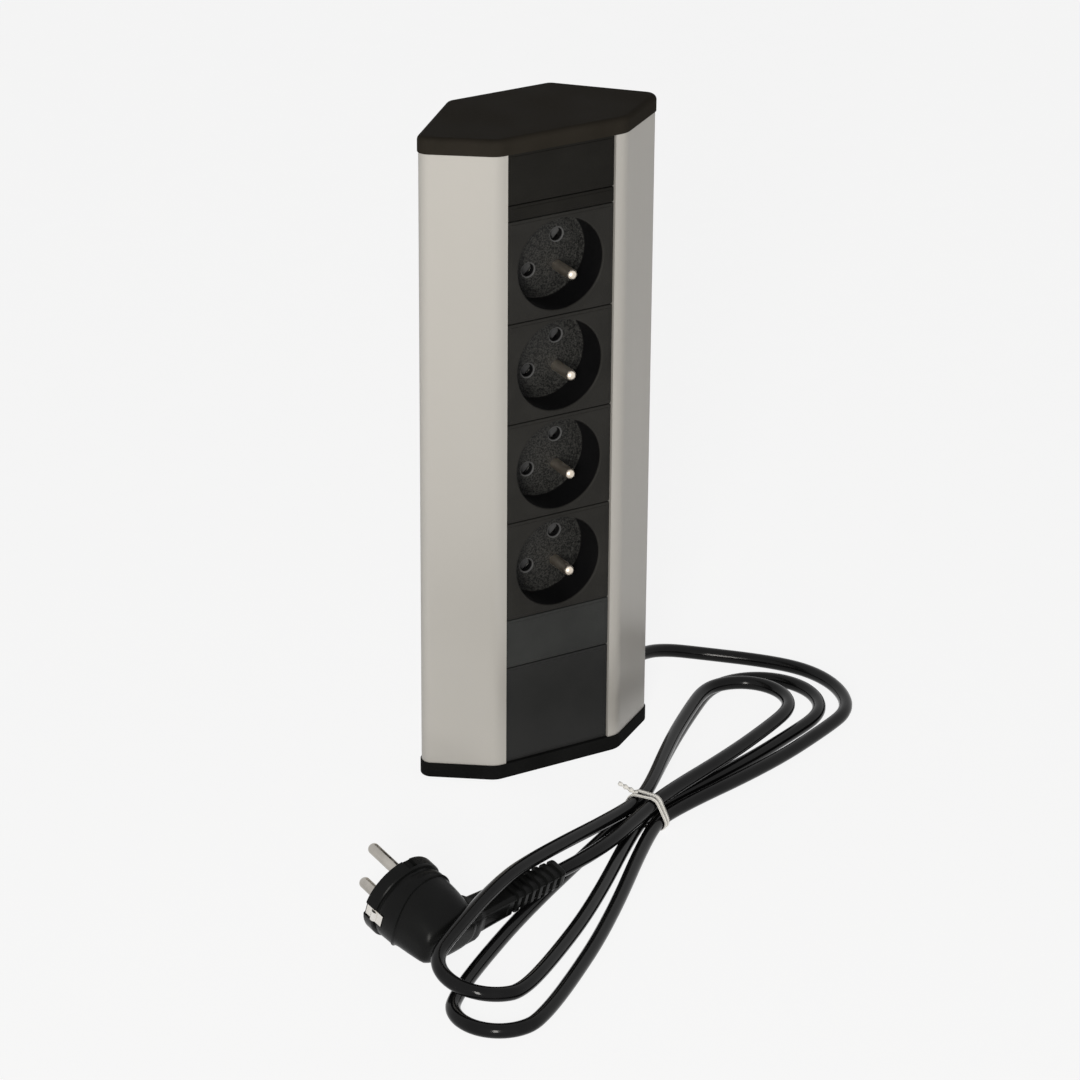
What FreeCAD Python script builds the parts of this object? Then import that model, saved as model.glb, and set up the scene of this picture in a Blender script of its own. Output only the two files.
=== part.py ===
"""Corner power strip with four sockets, a tied mains cord and an angled plug.

The strip stands upright on its bottom cap. The origin lies on the floor below the middle of the
housing, +Z points up, the sockets look towards -Y and the two slanted rear faces fit a room corner.
"""
import FreeCAD, Part
import math
import os

import Sketcher

V = FreeCAD.Vector
SHEET = "Sizes"
SQRT_HALF = math.sqrt(0.5)

# Driving sizes in millimetres, and angles in degrees
SIZES = {
    # Housing
    "half_width": 57.5,
    "depth": 53.0,
    "corner_depth": 19.5,
    "front_half_width": 30.0,
    "front_land": 4.7,
    "wall": 2.0,
    "lip_length": 12.5,
    "lip_wall": 1.5,
    "corner_radius": 4.5,
    "front_round_run": 2.23,
    "rear_radius": 4.5,
    "rib_width": 6.0,
    "rib_place": 13.0,
    "boss_radius": 3.2,
    "boss_inset": 4.2,
    "rear_boss_room": 4.5,
    "rear_boss_inset": 2.0,
    # End caps
    "cap_thickness": 7.0,
    "cap_overhang": 0.5,
    "cap_edge_radius": 2.2,
    "tongue_height": 5.0,
    "tongue_gap": 1.2,
    "tongue_room": 3.7,
    "tongue_depth": 6.0,
    "tongue_front": 1.0,
    "peg_length": 8.0,
    # Front strip
    "socket_pitch": 45.0,
    "blank_height": 22.5,
    "spacer_height": 7.0,
    "cover_height": 45.0,
    "plate_gap": 0.4,
    "plate_side_gap": 0.4,
    "plate_recess": 0.5,
    "plate_thickness": 2.6,
    "field_border": 2.4,
    "field_rise": 0.3,
    "skirt_wall": 1.5,
    "hook_depth": 1.5,
    "hook_reach": 1.3,
    "fit_gap": 0.3,
    # Sockets
    "well_radius": 20.0,
    "well_wall": 1.6,
    "well_depth": 16.0,
    "floor_thickness": 3.0,
    "well_edge_radius": 0.6,
    "pin_spacing": 19.0,
    "pin_radius": 2.4,
    "pin_hole_radius": 2.8,
    "earth_offset": 10.0,
    "earth_pin_length": 14.0,
    "earth_tail_radius": 1.7,
    "earth_rivet_radius": 2.6,
    "earth_rivet_height": 0.6,
    "running_gap": 0.05,
    # Child shutters
    "post_radius": 2.0,
    "post_length": 5.9,
    "hub_radius": 3.6,
    "shutter_thickness": 2.5,
    "shutter_half_width": 3.3,
    "shutter_reach": 12.7,
    "shutter_ramp": 1.2,
    "shutter_rear_gap": 0.2,
    "stop_radius": 1.2,
    "stop_distance": 11.0,
    "stop_height": 2.5,
    "shutter_travel": 42.0,
    "spring_wire": 0.5,
    "spring_radius": 2.75,
    "spring_rise": 0.62,
    "spring_leg": 4.0,
    # Contacts and their carrier
    "carrier_gap": 2.0,
    "carrier_wall": 2.0,
    "rib_depth": 11.0,
    "carrier_rib": 2.4,
    "terminal_zone": 12.0,
    "bar_width": 5.0,
    "bar_thickness": 1.0,
    "contact_radius": 3.5,
    "contact_slot": 0.8,
    "contact_slot_depth": 8.0,
    "contact_gap": 1.2,
    "earth_bar_gap": 2.0,
    "earth_bar_width": 4.0,
    "earth_bar_thickness": 0.8,
    "earth_tab_width": 6.4,
    # Screws
    "screw_radius": 1.45,
    "screw_length": 14.0,
    "screw_head_radius": 2.5,
    "screw_head_height": 2.0,
    "head_gap": 0.3,
    "recess_width": 0.9,
    "recess_length": 3.4,
    "recess_depth": 1.1,
    # Cord and its outlet
    "cord_diameter": 6.0,
    "exit_lift": 0.1,
    "exit_inset": 11.0,
    "neck_radius": 3.7,
    "flange_radius": 5.5,
    "flange_thickness": 1.5,
    "relief_length": 18.5,
    "relief_root_radius": 5.0,
    "relief_tip_radius": 3.7,
    "inner_cord_length": 16.5,
    "grip_distance": 12.0,
    "grip_width": 8.0,
    "grip_half_length": 9.2,
    "grip_screw_place": 6.2,
    "grip_bar_height": 3.0,
    "core_radius": 1.1,
    # Hank
    "strand_gap": 0.8,
    "floor_gap": 0.2,
    "waist_lift": 1.2,
    # Tie
    "tie_thickness": 0.8,
    "tie_width": 2.6,
    "tie_spacing": 3.4,
    "tie_gap": 0.3,
    "twist_radius": 1.2,
    "twist_length": 15.0,
    # Plug
    "plug_radius": 18.0,
    "plug_face_depth": 6.0,
    "plug_depth": 34.0,
    "plug_floor_gap": 0.33,
    "plug_shoulder": 0.7,
    "plug_bulge": 1.0,
    "plug_rear_half_width": 15.0,
    "plug_rear_half_height": 9.0,
    "plug_pin_length": 19.0,
    "plug_pin_root": 9.0,
    "plug_pin_root_radius": 2.0,
    "arm_depth": 26.0,
    "arm_length": 66.0,
    "arm_root_half_width": 7.0,
    "arm_root_half_height": 6.0,
    "arm_tip_radius": 4.6,
    "rib_start": 36.0,
    "rib_pitch": 4.2,
    "rib_slot": 1.9,
    "rib_core_radius": 3.5,
    "rib_window_half": 2.5,
    "bridge_radius": 12.6,
    "bridge_height": 17.0,
    "bridge_face": 3.0,
    "clip_width": 5.4,
    "clip_thickness": 0.8,
    "clip_length": 11.0,
    "clip_notch_depth": 1.6,
}
SOCKET_COUNT = 4
RIB_COUNT = 6
PIN_ROUND = 0.9
PIN_ANGLE = 45.0

# How far a cutting tool reaches past the piece that it cuts
PAST = 1.0


class Size:
    """A number together with the sheet formula that gives it."""

    def __init__(self, value, formula=None):
        self.value = float(value)
        self.formula = formula if formula else f"({self.value!r})"

    def join(self, sign, other, value):
        return Size(value, f"({self.formula} {sign} {other.formula})")

    def __add__(self, other):
        other = as_size(other)
        return self.join("+", other, self.value + other.value)

    def __sub__(self, other):
        other = as_size(other)
        return self.join("-", other, self.value - other.value)

    def __mul__(self, other):
        other = as_size(other)
        return self.join("*", other, self.value * other.value)

    def __truediv__(self, other):
        other = as_size(other)
        return self.join("/", other, self.value / other.value)

    def __radd__(self, other):
        return as_size(other) + self

    def __rsub__(self, other):
        return as_size(other) - self

    def __rmul__(self, other):
        return as_size(other) * self

    def __neg__(self):
        return Size(-self.value, f"(0 - {self.formula})")

    def root(self):
        return Size(math.sqrt(self.value), f"sqrt({self.formula})")


def as_size(number):
    return number if isinstance(number, Size) else Size(number)


def fill_sheet():
    """Put every driving size in the sheet and return one object that names them."""
    sheet = doc.addObject("Spreadsheet::Sheet", SHEET)
    names = type("Names", (), {})()
    for row, (name, value) in enumerate(SIZES.items(), 1):
        sheet.set(f"A{row}", name)
        sheet.set(f"B{row}", str(value))
        sheet.setAlias(f"B{row}", name)
        setattr(names, name, Size(value, f"{SHEET}.{name}"))
    return names


doc = FreeCAD.newDocument("CornerPowerStrip")
S = fill_sheet()
doc.recompute()

# Places that follow from the driving sizes
FRONT = -S.depth / 2
REAR = S.depth / 2
CORNER_Y = FRONT + S.corner_depth
REACH = S.half_width + CORNER_Y
BASE = S.cap_thickness
COVER_TOP = BASE + S.cover_height
SOCKETS_LOW = COVER_TOP + S.blank_height
SOCKETS_HIGH = SOCKETS_LOW + SOCKET_COUNT * S.socket_pitch
SPACER_TOP = SOCKETS_HIGH + S.spacer_height
TOP = SPACER_TOP + S.blank_height
PLATE_FRONT = FRONT + S.plate_recess
PLATE_BACK = PLATE_FRONT + S.plate_thickness
OPENING_HALF = S.front_half_width - S.front_land
PLATE_HALF = OPENING_HALF - S.plate_side_gap
LIP_END = FRONT + S.lip_length
FLOOR_FRONT = FRONT + S.well_depth
FLOOR_BACK = FLOOR_FRONT + S.floor_thickness
SHUTTER_FRONT = FLOOR_BACK + S.fit_gap
SHUTTER_BACK = SHUTTER_FRONT + S.shutter_thickness
POST_END = FLOOR_BACK + S.post_length
CARRIER_FRONT = FLOOR_BACK + S.fit_gap
CARRIER_REAR = REAR - S.wall - S.rib_depth
CARRIER_BASE = CARRIER_REAR - S.carrier_wall
CARRIER_HALF = PLATE_HALF - S.skirt_wall - S.carrier_gap
CARRIER_LOW = SOCKETS_LOW - S.terminal_zone
PIN_PLACE = S.pin_spacing / 2 * SQRT_HALF
EARTH_PLACE = S.earth_offset * SQRT_HALF
EARTH_BAR_FRONT = SHUTTER_BACK + S.shutter_rear_gap
EARTH_BAR_PLACE = CARRIER_HALF - S.carrier_wall - S.earth_bar_gap - S.earth_bar_width
CORD_RADIUS = S.cord_diameter / 2
BORE_RADIUS = S.screw_radius + S.running_gap
EXIT_X = S.half_width - S.exit_inset
EXIT_Y = REACH - EXIT_X
EXIT_HEIGHT = BASE + S.neck_radius + S.exit_lift


def socket_height(index):
    """Height of the axis of socket 1 to 4, counted from the top."""
    return SOCKETS_HIGH - (index - 0.5) * S.socket_pitch


def bind(thing, prop, size):
    thing.setExpression(prop, as_size(size).formula)


# Bodies, sketches and features

def new_body(name):
    piece = doc.addObject("PartDesign::Body", name)
    piece.Label = name
    return piece


def new_sketch(piece, role, lift):
    """An empty sketch on one of the body's own planes, moved along the plane's normal."""
    drawing = piece.newObject("Sketcher::SketchObject", piece.Name + "_sketch")
    plane = next(p for p in piece.Origin.OriginFeatures if p.Role == role)
    drawing.AttachmentSupport = (plane, [""])
    drawing.MapMode = "FlatFace"
    bind(drawing, "AttachmentOffset.Base.z", lift)
    return drawing


def fix(drawing, kind, *place):
    """Add one constraint whose value is the last item and follows the sheet."""
    size = as_size(place[-1])
    index = drawing.addConstraint(Sketcher.Constraint(kind, *place[:-1], size.value))
    drawing.setExpression(f"Constraints[{index}]", size.formula)


def draw_outline(drawing, corners):
    """A closed outline of straight lines through the corners."""
    first = drawing.GeometryCount
    count = len(corners)
    places = [V(as_size(x).value, as_size(y).value, 0) for x, y in corners]
    for i in range(count):
        drawing.addGeometry(Part.LineSegment(places[i], places[(i + 1) % count]), False)
    for i in range(count):
        following = first + (i + 1) % count
        drawing.addConstraint(Sketcher.Constraint("Coincident", first + i, 2, following, 1))
    for i, (x, y) in enumerate(corners):
        fix(drawing, "DistanceX", first + i, 1, x)
        fix(drawing, "DistanceY", first + i, 1, y)


def draw_circle(drawing, x, y, radius):
    x, y, radius = as_size(x), as_size(y), as_size(radius)
    circle = Part.Circle(V(x.value, y.value, 0), V(0, 0, 1), radius.value)
    index = drawing.addGeometry(circle, False)
    fix(drawing, "DistanceX", index, 3, x)
    fix(drawing, "DistanceY", index, 3, y)
    fix(drawing, "Radius", index, radius)


def draw_box(drawing, x0, x1, y0, y1):
    draw_outline(drawing, [(x0, y0), (x1, y0), (x1, y1), (x0, y1)])


def extrude(piece, drawing, length, kind="Pad", reverse=False):
    """Pad or pocket a sketch, and make sure that it changed the body."""
    doc.recompute()
    before = piece.Shape.Volume if piece.Tip and not piece.Shape.isNull() else 0.0
    feature = piece.newObject("PartDesign::" + kind, piece.Name + "_" + kind.lower())
    feature.Profile = drawing
    feature.Reversed = reverse
    bind(feature, "Length", length)
    piece.Tip = feature
    doc.recompute()
    change = piece.Shape.Volume - before
    if (change > 0) != (kind == "Pad") or abs(change) < 1e-6:
        raise ValueError(f"{piece.Label}: {feature.Name} changed nothing")
    return feature


def add_round(piece, wanted, radius, kind="Fillet"):
    """Round or chamfer the edges of the body that a test picks out."""
    doc.recompute()
    base = piece.Tip
    names = [f"Edge{i}" for i, edge in enumerate(base.Shape.Edges, 1) if wanted(edge)]
    if not names:
        raise ValueError(f"{piece.Label}: no edge to round")
    feature = piece.newObject("PartDesign::" + kind, piece.Name + "_" + kind.lower())
    feature.Base = (base, names)
    bind(feature, "Radius" if kind == "Fillet" else "Size", radius)
    piece.Tip = feature
    doc.recompute()
    return feature


def near(point, x, y, z=None, reach=0.2):
    """Whether a point lies at this place, seen along any axis that is left out."""
    targets = [(point.x, x), (point.y, y), (point.z, z)]
    return all(t is None or abs(p - as_size(t).value) < reach for p, t in targets)


def upright_at(x, y):
    """A test for the vertical edge that stands at this place."""
    def test(edge):
        ends = [v.Point for v in edge.Vertexes]
        flat = abs(ends[0].z - ends[-1].z) > 1 and edge.Curve.TypeId == "Part::GeomLine"
        return flat and all(near(p, x, y) for p in ends)
    return test


def any_of(tests):
    return lambda edge: any(test(edge) for test in tests)


def level_edge(z):
    """A test for the edges that lie wholly at one height."""
    def test(edge):
        box = edge.BoundBox
        return abs(box.ZMin - z.value) < 1e-3 and abs(box.ZMax - z.value) < 1e-3
    return test


def mirrored(half):
    """The full outline of a half that starts and ends away from x = 0."""
    return half + [(-x, y) for x, y in reversed(half)]


def meet(first, second):
    """Where two lines meet, each given by a point and a direction."""
    (px, py), (ux, uy) = first
    (qx, qy), (wx, wy) = second
    along = ((qx - px) * wy - (qy - py) * wx) / (ux * wy - uy * wx)
    return px + ux * along, py + uy * along


def wall_lines(inset):
    """The front, wing and rear lines of the right half, moved inwards."""
    run_x = S.half_width - S.front_half_width
    run_y = CORNER_Y - FRONT
    length = (run_x * run_x + run_y * run_y).root()
    wing_x = S.front_half_width - inset * run_y / length
    wing_y = FRONT + inset * run_x / length
    front = ((Size(0), FRONT + inset), (Size(1), Size(0)))
    wing = ((wing_x, wing_y), (run_x, run_y))
    slant = ((REACH - inset / SQRT_HALF, Size(0)), (Size(-1), Size(1)))
    back = ((Size(0), REAR - inset), (Size(1), Size(0)))
    return front, wing, slant, back


def hull_corners(inset):
    """The three corners of the right half of the outline, from the front to the rear."""
    front, wing, slant, back = wall_lines(inset)
    return [meet(front, wing), meet(wing, slant), meet(slant, back)]


def inner_front_radius():
    """The round between the front land and the wing that takes up the named run of the land."""
    run_x = S.half_width - S.front_half_width
    length = (run_x * run_x + S.corner_depth * S.corner_depth).root()
    return S.front_round_run * (length + run_x) / S.corner_depth


# Housing

INNER_FRONT, INNER_CORNER, INNER_REAR = hull_corners(S.wall)
FRONT_RADIUS = inner_front_radius()
BOSSES = [
    (INNER_CORNER[0] - S.boss_inset, INNER_CORNER[1]),
    (REACH - REAR - S.rear_boss_room, REAR - S.wall - S.rear_boss_inset),
]


def exit_point(distance):
    """A point on the line of the cord outlet, outwards from the slanted face."""
    return EXIT_X + distance * SQRT_HALF, EXIT_Y + distance * SQRT_HALF


def slanted_box(start, end, half_width):
    """A rectangle along the line of the cord outlet."""
    side = half_width * SQRT_HALF
    (ax, ay), (bx, by) = exit_point(start), exit_point(end)
    return [(ax + side, ay - side), (bx + side, by - side), (bx - side, by + side), (ax - side, ay + side)]


def make_profile():
    piece = new_body("body_profile")
    outer_front, outer_corner, outer_rear = hull_corners(Size(0))
    lip_inner = OPENING_HALF + S.lip_wall
    half = [
        (INNER_REAR[0], INNER_REAR[1]),
        INNER_CORNER,
        INNER_FRONT,
        (lip_inner, INNER_FRONT[1]),
        (lip_inner, LIP_END),
        (OPENING_HALF, LIP_END),
        (OPENING_HALF, FRONT),
        outer_front,
        outer_corner,
        outer_rear,
    ]
    drawing = new_sketch(piece, "XY_Plane", BASE)
    draw_outline(drawing, mirrored(half))
    extrude(piece, drawing, TOP - BASE)
    rounds = [
        (outer_front, FRONT_RADIUS + S.wall),
        (outer_corner, S.corner_radius),
        (outer_rear, S.rear_radius),
    ]
    for (x, y), radius in rounds:
        add_round(piece, any_of([upright_at(x, y), upright_at(-x, y)]), radius)
    inner_rounds = [
        (INNER_FRONT, FRONT_RADIUS),
        (INNER_CORNER, S.corner_radius - S.wall),
        (INNER_REAR, S.rear_radius - S.wall),
    ]
    for (x, y), radius in inner_rounds:
        add_round(piece, any_of([upright_at(x, y), upright_at(-x, y)]), radius)
    ribs = new_sketch(piece, "XY_Plane", BASE)
    rear_inside = REAR - S.wall
    for side in (-1, 1):
        left = side * S.rib_place - S.rib_width / 2
        draw_box(ribs, left, left + S.rib_width, CARRIER_REAR, rear_inside + S.wall / 2)
    extrude(piece, ribs, TOP - BASE)
    bosses = new_sketch(piece, "XY_Plane", BASE)
    bores = new_sketch(piece, "XY_Plane", BASE)
    for side in (-1, 1):
        for x, y in BOSSES:
            draw_circle(bosses, side * x, y, S.boss_radius)
            draw_circle(bores, side * x, y, BORE_RADIUS)
    extrude(piece, bosses, TOP - BASE)
    extrude(piece, bores, TOP - BASE, "Pocket", reverse=True)
    notch = new_sketch(piece, "XY_Plane", BASE)
    half_notch = S.neck_radius + S.fit_gap / 2
    draw_outline(notch, slanted_box(-2 * S.wall, S.wall, half_notch))
    extrude(piece, notch, EXIT_HEIGHT + half_notch - BASE, "Pocket", reverse=True)
    holes = new_sketch(piece, "XZ_Plane", -CARRIER_REAR)
    for x, z in carrier_screw_places():
        draw_circle(holes, x, z, BORE_RADIUS)
    extrude(piece, holes, S.screw_length - S.carrier_wall, "Pocket")
    bond = new_sketch(piece, "XZ_Plane", -(REAR - S.wall))
    draw_circle(bond, 0, bond_height(), BORE_RADIUS)
    extrude(piece, bond, S.wall, "Pocket")
    return piece


def carrier_screw_places():
    heights = [SOCKETS_LOW + step * S.socket_pitch for step in (1, SOCKET_COUNT - 1)]
    return [(side * S.rib_place, height) for height in heights for side in (-1, 1)]


def bond_height():
    return CARRIER_LOW - S.bar_width


# End caps

def draw_cap(piece, lift):
    front, corner, rear = hull_corners(-S.cap_overhang)
    drawing = new_sketch(piece, "XY_Plane", lift)
    draw_outline(drawing, mirrored([rear, corner, front]))
    extrude(piece, drawing, S.cap_thickness)
    grown = S.cap_overhang
    corners = [
        (front, FRONT_RADIUS + S.wall + grown),
        (corner, S.corner_radius + grown),
        (rear, S.rear_radius + grown),
    ]
    for (x, y), radius in corners:
        add_round(piece, any_of([upright_at(x, y), upright_at(-x, y)]), radius)


def add_tongues(piece, lift, upwards, sides):
    drawing = new_sketch(piece, "XY_Plane", lift)
    nearest = OPENING_HALF + S.lip_wall + S.tongue_gap
    tongue_rear = S.tongue_front + S.tongue_depth
    farthest = REACH - S.wall / SQRT_HALF - tongue_rear - S.tongue_room
    for side in sides:
        inner, outer = side * nearest, side * farthest
        low, high = (inner, outer) if side > 0 else (outer, inner)
        draw_box(drawing, low, high, S.tongue_front, tongue_rear)
    extrude(piece, drawing, S.tongue_height, reverse=not upwards)


def make_top_cap():
    piece = new_body("top_cap")
    draw_cap(piece, TOP)
    add_round(piece, level_edge(TOP + S.cap_thickness), S.cap_edge_radius)
    add_tongues(piece, TOP, False, (-1, 1))
    pegs = new_sketch(piece, "XY_Plane", TOP)
    for side in (-1, 1):
        for x, y in BOSSES:
            draw_circle(pegs, side * x, y, S.screw_radius)
    extrude(piece, pegs, S.peg_length, reverse=True)
    return piece


def make_bottom_cap():
    piece = new_body("bottom_cap")
    draw_cap(piece, Size(0))
    add_round(piece, level_edge(Size(0)), S.cap_edge_radius / 2)
    add_tongues(piece, BASE, True, (-1,))
    channel = CORD_RADIUS + S.fit_gap
    block = new_sketch(piece, "XY_Plane", BASE)
    middle = -S.grip_distance
    start, end = middle - S.grip_width / 2, middle + S.grip_width / 2
    draw_outline(block, slanted_box(start, end, S.grip_half_length))
    post_top = EXIT_HEIGHT + CORD_RADIUS - S.fit_gap
    extrude(piece, block, post_top - BASE)
    groove = new_sketch(piece, "XY_Plane", post_top)
    draw_outline(groove, slanted_box(start - PAST, end + PAST, channel))
    extrude(piece, groove, S.cord_diameter - S.fit_gap, "Pocket")
    holes = new_sketch(piece, "XY_Plane", post_top)
    for x, y in grip_screw_places():
        draw_circle(holes, x, y, BORE_RADIUS)
    extrude(piece, holes, S.cord_diameter, "Pocket")
    shanks = new_sketch(piece, "XY_Plane", Size(0))
    heads = new_sketch(piece, "XY_Plane", Size(0))
    for side in (-1, 1):
        for x, y in BOSSES:
            draw_circle(shanks, side * x, y, BORE_RADIUS)
            draw_circle(heads, side * x, y, S.screw_head_radius + S.head_gap)
    extrude(piece, shanks, S.cap_thickness, "Pocket", reverse=True)
    extrude(piece, heads, S.screw_head_height + S.head_gap, "Pocket", reverse=True)
    return piece


def grip_screw_places():
    x, y = exit_point(-S.grip_distance)
    side = S.grip_screw_place * SQRT_HALF
    return [(x + side, y - side), (x - side, y + side)]


# Screws, as groups of separate solids

def place(shape, base, axis):
    """Move a shape that was made along +Z from the origin."""
    shape = shape.copy()
    shape.Placement = FreeCAD.Placement(base, FreeCAD.Rotation(V(0, 0, 1), axis))
    return shape


def screw_shape(length):
    """A pan head screw whose head starts at the origin, with its shank towards +Z."""
    head = Part.makeCylinder(S.screw_head_radius.value, S.screw_head_height.value)
    head = head.makeFillet(S.screw_head_height.value / 3, [head.Edges[2]])
    shank = Part.makeCylinder(S.screw_radius.value, length, V(0, 0, S.screw_head_height.value))
    screw = head.fuse(shank).removeSplitter()
    reach, width = S.recess_length.value / 2, S.recess_width.value / 2
    for long_x, long_y in ((reach, width), (width, reach)):
        slot = Part.makeBox(2 * long_x, 2 * long_y, S.recess_depth.value, V(-long_x, -long_y, 0))
        screw = screw.cut(slot)
    return screw


def vector(x, y, z):
    return V(as_size(x).value, as_size(y).value, as_size(z).value)


def make_feature(name, shape):
    piece = doc.addObject("Part::Feature", name)
    piece.Label = name
    piece.Shape = shape
    piece.Placement = FreeCAD.Placement()
    return piece


def make_screws():
    up = V(0, 0, 1)
    cap_screw = screw_shape(S.screw_length.value)
    places = [vector(side * x, y, S.head_gap) for side in (-1, 1) for x, y in BOSSES]
    make_feature("bottom_cap_screws", Part.makeCompound([place(cap_screw, p, up) for p in places]))
    head_front = CARRIER_BASE - S.screw_head_height
    carrier_screw = screw_shape((S.screw_length - S.fit_gap).value)
    places = [vector(x, head_front, z) for x, z in carrier_screw_places()]
    make_feature("carrier_screws", Part.makeCompound([place(carrier_screw, p, V(0, 1, 0)) for p in places]))
    top = EXIT_HEIGHT + CORD_RADIUS + S.grip_bar_height + S.screw_head_height
    grip_screw = screw_shape((S.grip_bar_height + S.cord_diameter - S.fit_gap * 2).value)
    places = [vector(x, y, top) for x, y in grip_screw_places()]
    make_feature("cord_clamp_screws", Part.makeCompound([place(grip_screw, p, -up) for p in places]))
    bond_screw = screw_shape((S.bar_thickness + S.wall - S.fit_gap).value)
    start = vector(0, REAR - S.wall - S.bar_thickness - S.screw_head_height, bond_height())
    make_feature("earth_bond_screw", Part.makeCompound([place(bond_screw, start, V(0, 1, 0))]))


# Front strip

def make_plate(name, low, high):
    """A plate of the front strip with its raised field and hooked skirts behind the lips."""
    piece = new_body(name)
    low = low + S.plate_gap / 2
    high = high - S.plate_gap / 2
    plate = new_sketch(piece, "XZ_Plane", -PLATE_BACK)
    draw_box(plate, -PLATE_HALF, PLATE_HALF, low, high)
    extrude(piece, plate, S.plate_thickness - S.field_rise)
    field = new_sketch(piece, "XZ_Plane", -(PLATE_FRONT + S.field_rise))
    edge = S.field_border
    draw_box(field, -(PLATE_HALF - edge), PLATE_HALF - edge, low + edge / 2, high - edge / 2)
    extrude(piece, field, S.field_rise)
    skirts = new_sketch(piece, "XY_Plane", low)
    hook_front = LIP_END + S.fit_gap
    hook_back = hook_front + S.hook_depth
    for side in (-1, 1):
        half = [
            (side * (PLATE_HALF - S.skirt_wall), PLATE_BACK),
            (side * PLATE_HALF, PLATE_BACK),
            (side * PLATE_HALF, hook_front),
            (side * (PLATE_HALF + S.hook_reach), hook_front),
            (side * (PLATE_HALF + S.hook_reach), hook_front + S.hook_depth / 2),
            (side * PLATE_HALF, hook_back),
            (side * (PLATE_HALF - S.skirt_wall), hook_back),
        ]
        draw_outline(skirts, half)
    extrude(piece, skirts, high - low)
    return piece


def make_socket_insert(index):
    centre = socket_height(index)
    half = S.socket_pitch / 2
    piece = make_plate(f"socket_insert_{index}", centre - half, centre + half)
    cup = new_sketch(piece, "XZ_Plane", -FLOOR_BACK)
    draw_circle(cup, 0, centre, S.well_radius + S.well_wall)
    extrude(piece, cup, FLOOR_BACK - PLATE_BACK)
    well = new_sketch(piece, "XZ_Plane", -FRONT)
    draw_circle(well, 0, centre, S.well_radius)
    extrude(piece, well, S.well_depth, "Pocket")
    holes = new_sketch(piece, "XZ_Plane", -FLOOR_FRONT)
    for side in (-1, 1):
        draw_circle(holes, side * PIN_PLACE, centre + side * PIN_PLACE, S.pin_hole_radius)
    draw_circle(holes, EARTH_PLACE, centre - EARTH_PLACE, S.earth_tail_radius + S.running_gap)
    extrude(piece, holes, S.floor_thickness, "Pocket")
    post = new_sketch(piece, "XZ_Plane", -FLOOR_BACK)
    draw_circle(post, 0, centre, S.post_radius)
    extrude(piece, post, S.post_length, reverse=True)
    stops = new_sketch(piece, "XZ_Plane", -FLOOR_BACK)
    for angle, side in ((PIN_ANGLE, -1), (PIN_ANGLE + SIZES["shutter_travel"], 1)):
        draw_circle(stops, *stop_place(centre, angle, side), S.stop_radius)
    extrude(piece, stops, S.stop_height, reverse=True)

    def mouth(edge):
        box = edge.BoundBox
        flat = abs(box.YMin - PLATE_FRONT.value) < 1e-3 and abs(box.YMax - PLATE_FRONT.value) < 1e-3
        return flat and edge.Curve.TypeId == "Part::GeomCircle"
    add_round(piece, mouth, S.well_edge_radius)
    return piece


def stop_place(centre, angle, side):
    """Where a stop touches the shutter bar that points at this angle."""
    cosine = math.cos(math.radians(angle))
    sine = math.sin(math.radians(angle))
    away = side * (S.shutter_half_width + S.fit_gap + S.stop_radius)
    x = S.stop_distance * cosine - away * sine
    z = centre + S.stop_distance * sine + away * cosine
    return x, z


def make_front_strip():
    make_plate("terminal_cover", BASE, COVER_TOP)
    make_plate("lower_blank", COVER_TOP, SOCKETS_LOW)
    make_plate("spacer_strip", SOCKETS_HIGH, SPACER_TOP)
    make_plate("top_blank", SPACER_TOP, TOP)
    for index in range(1, SOCKET_COUNT + 1):
        make_socket_insert(index)


# Earth pins, shutters and their springs

def make_earth_pin(index):
    """A turned pin with a round tip, a thinner tail and a rivet head behind the earth bar."""
    piece = new_body(f"earth_pin_{index}")
    bar_back = EARTH_BAR_FRONT + S.earth_bar_thickness
    tail = bar_back - FLOOR_FRONT
    drawing = new_sketch(piece, "XZ_Plane", Size(0))
    draw_outline(drawing, [
        (0, -tail - S.earth_rivet_height),
        (S.earth_rivet_radius, -tail - S.earth_rivet_height),
        (S.earth_rivet_radius, -tail),
        (S.earth_tail_radius, -tail),
        (S.earth_tail_radius, 0),
        (S.pin_radius, 0),
        (S.pin_radius, S.earth_pin_length),
        (0, S.earth_pin_length),
    ])
    turned = piece.newObject("PartDesign::Revolution", piece.Name + "_turned")
    turned.Profile = drawing
    turned.ReferenceAxis = (drawing, ["V_Axis"])
    turned.Angle = 360.0
    piece.Tip = turned
    tip = level_edge(S.earth_pin_length)
    add_round(piece, tip, S.pin_radius * PIN_ROUND)
    piece.Placement = FreeCAD.Placement(V(0, 0, 0), FreeCAD.Rotation(V(1, 0, 0), 90))
    bind(piece, "Placement.Base.x", EARTH_PLACE)
    bind(piece, "Placement.Base.y", FLOOR_FRONT)
    bind(piece, "Placement.Base.z", socket_height(index) - EARTH_PLACE)
    return piece


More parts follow.
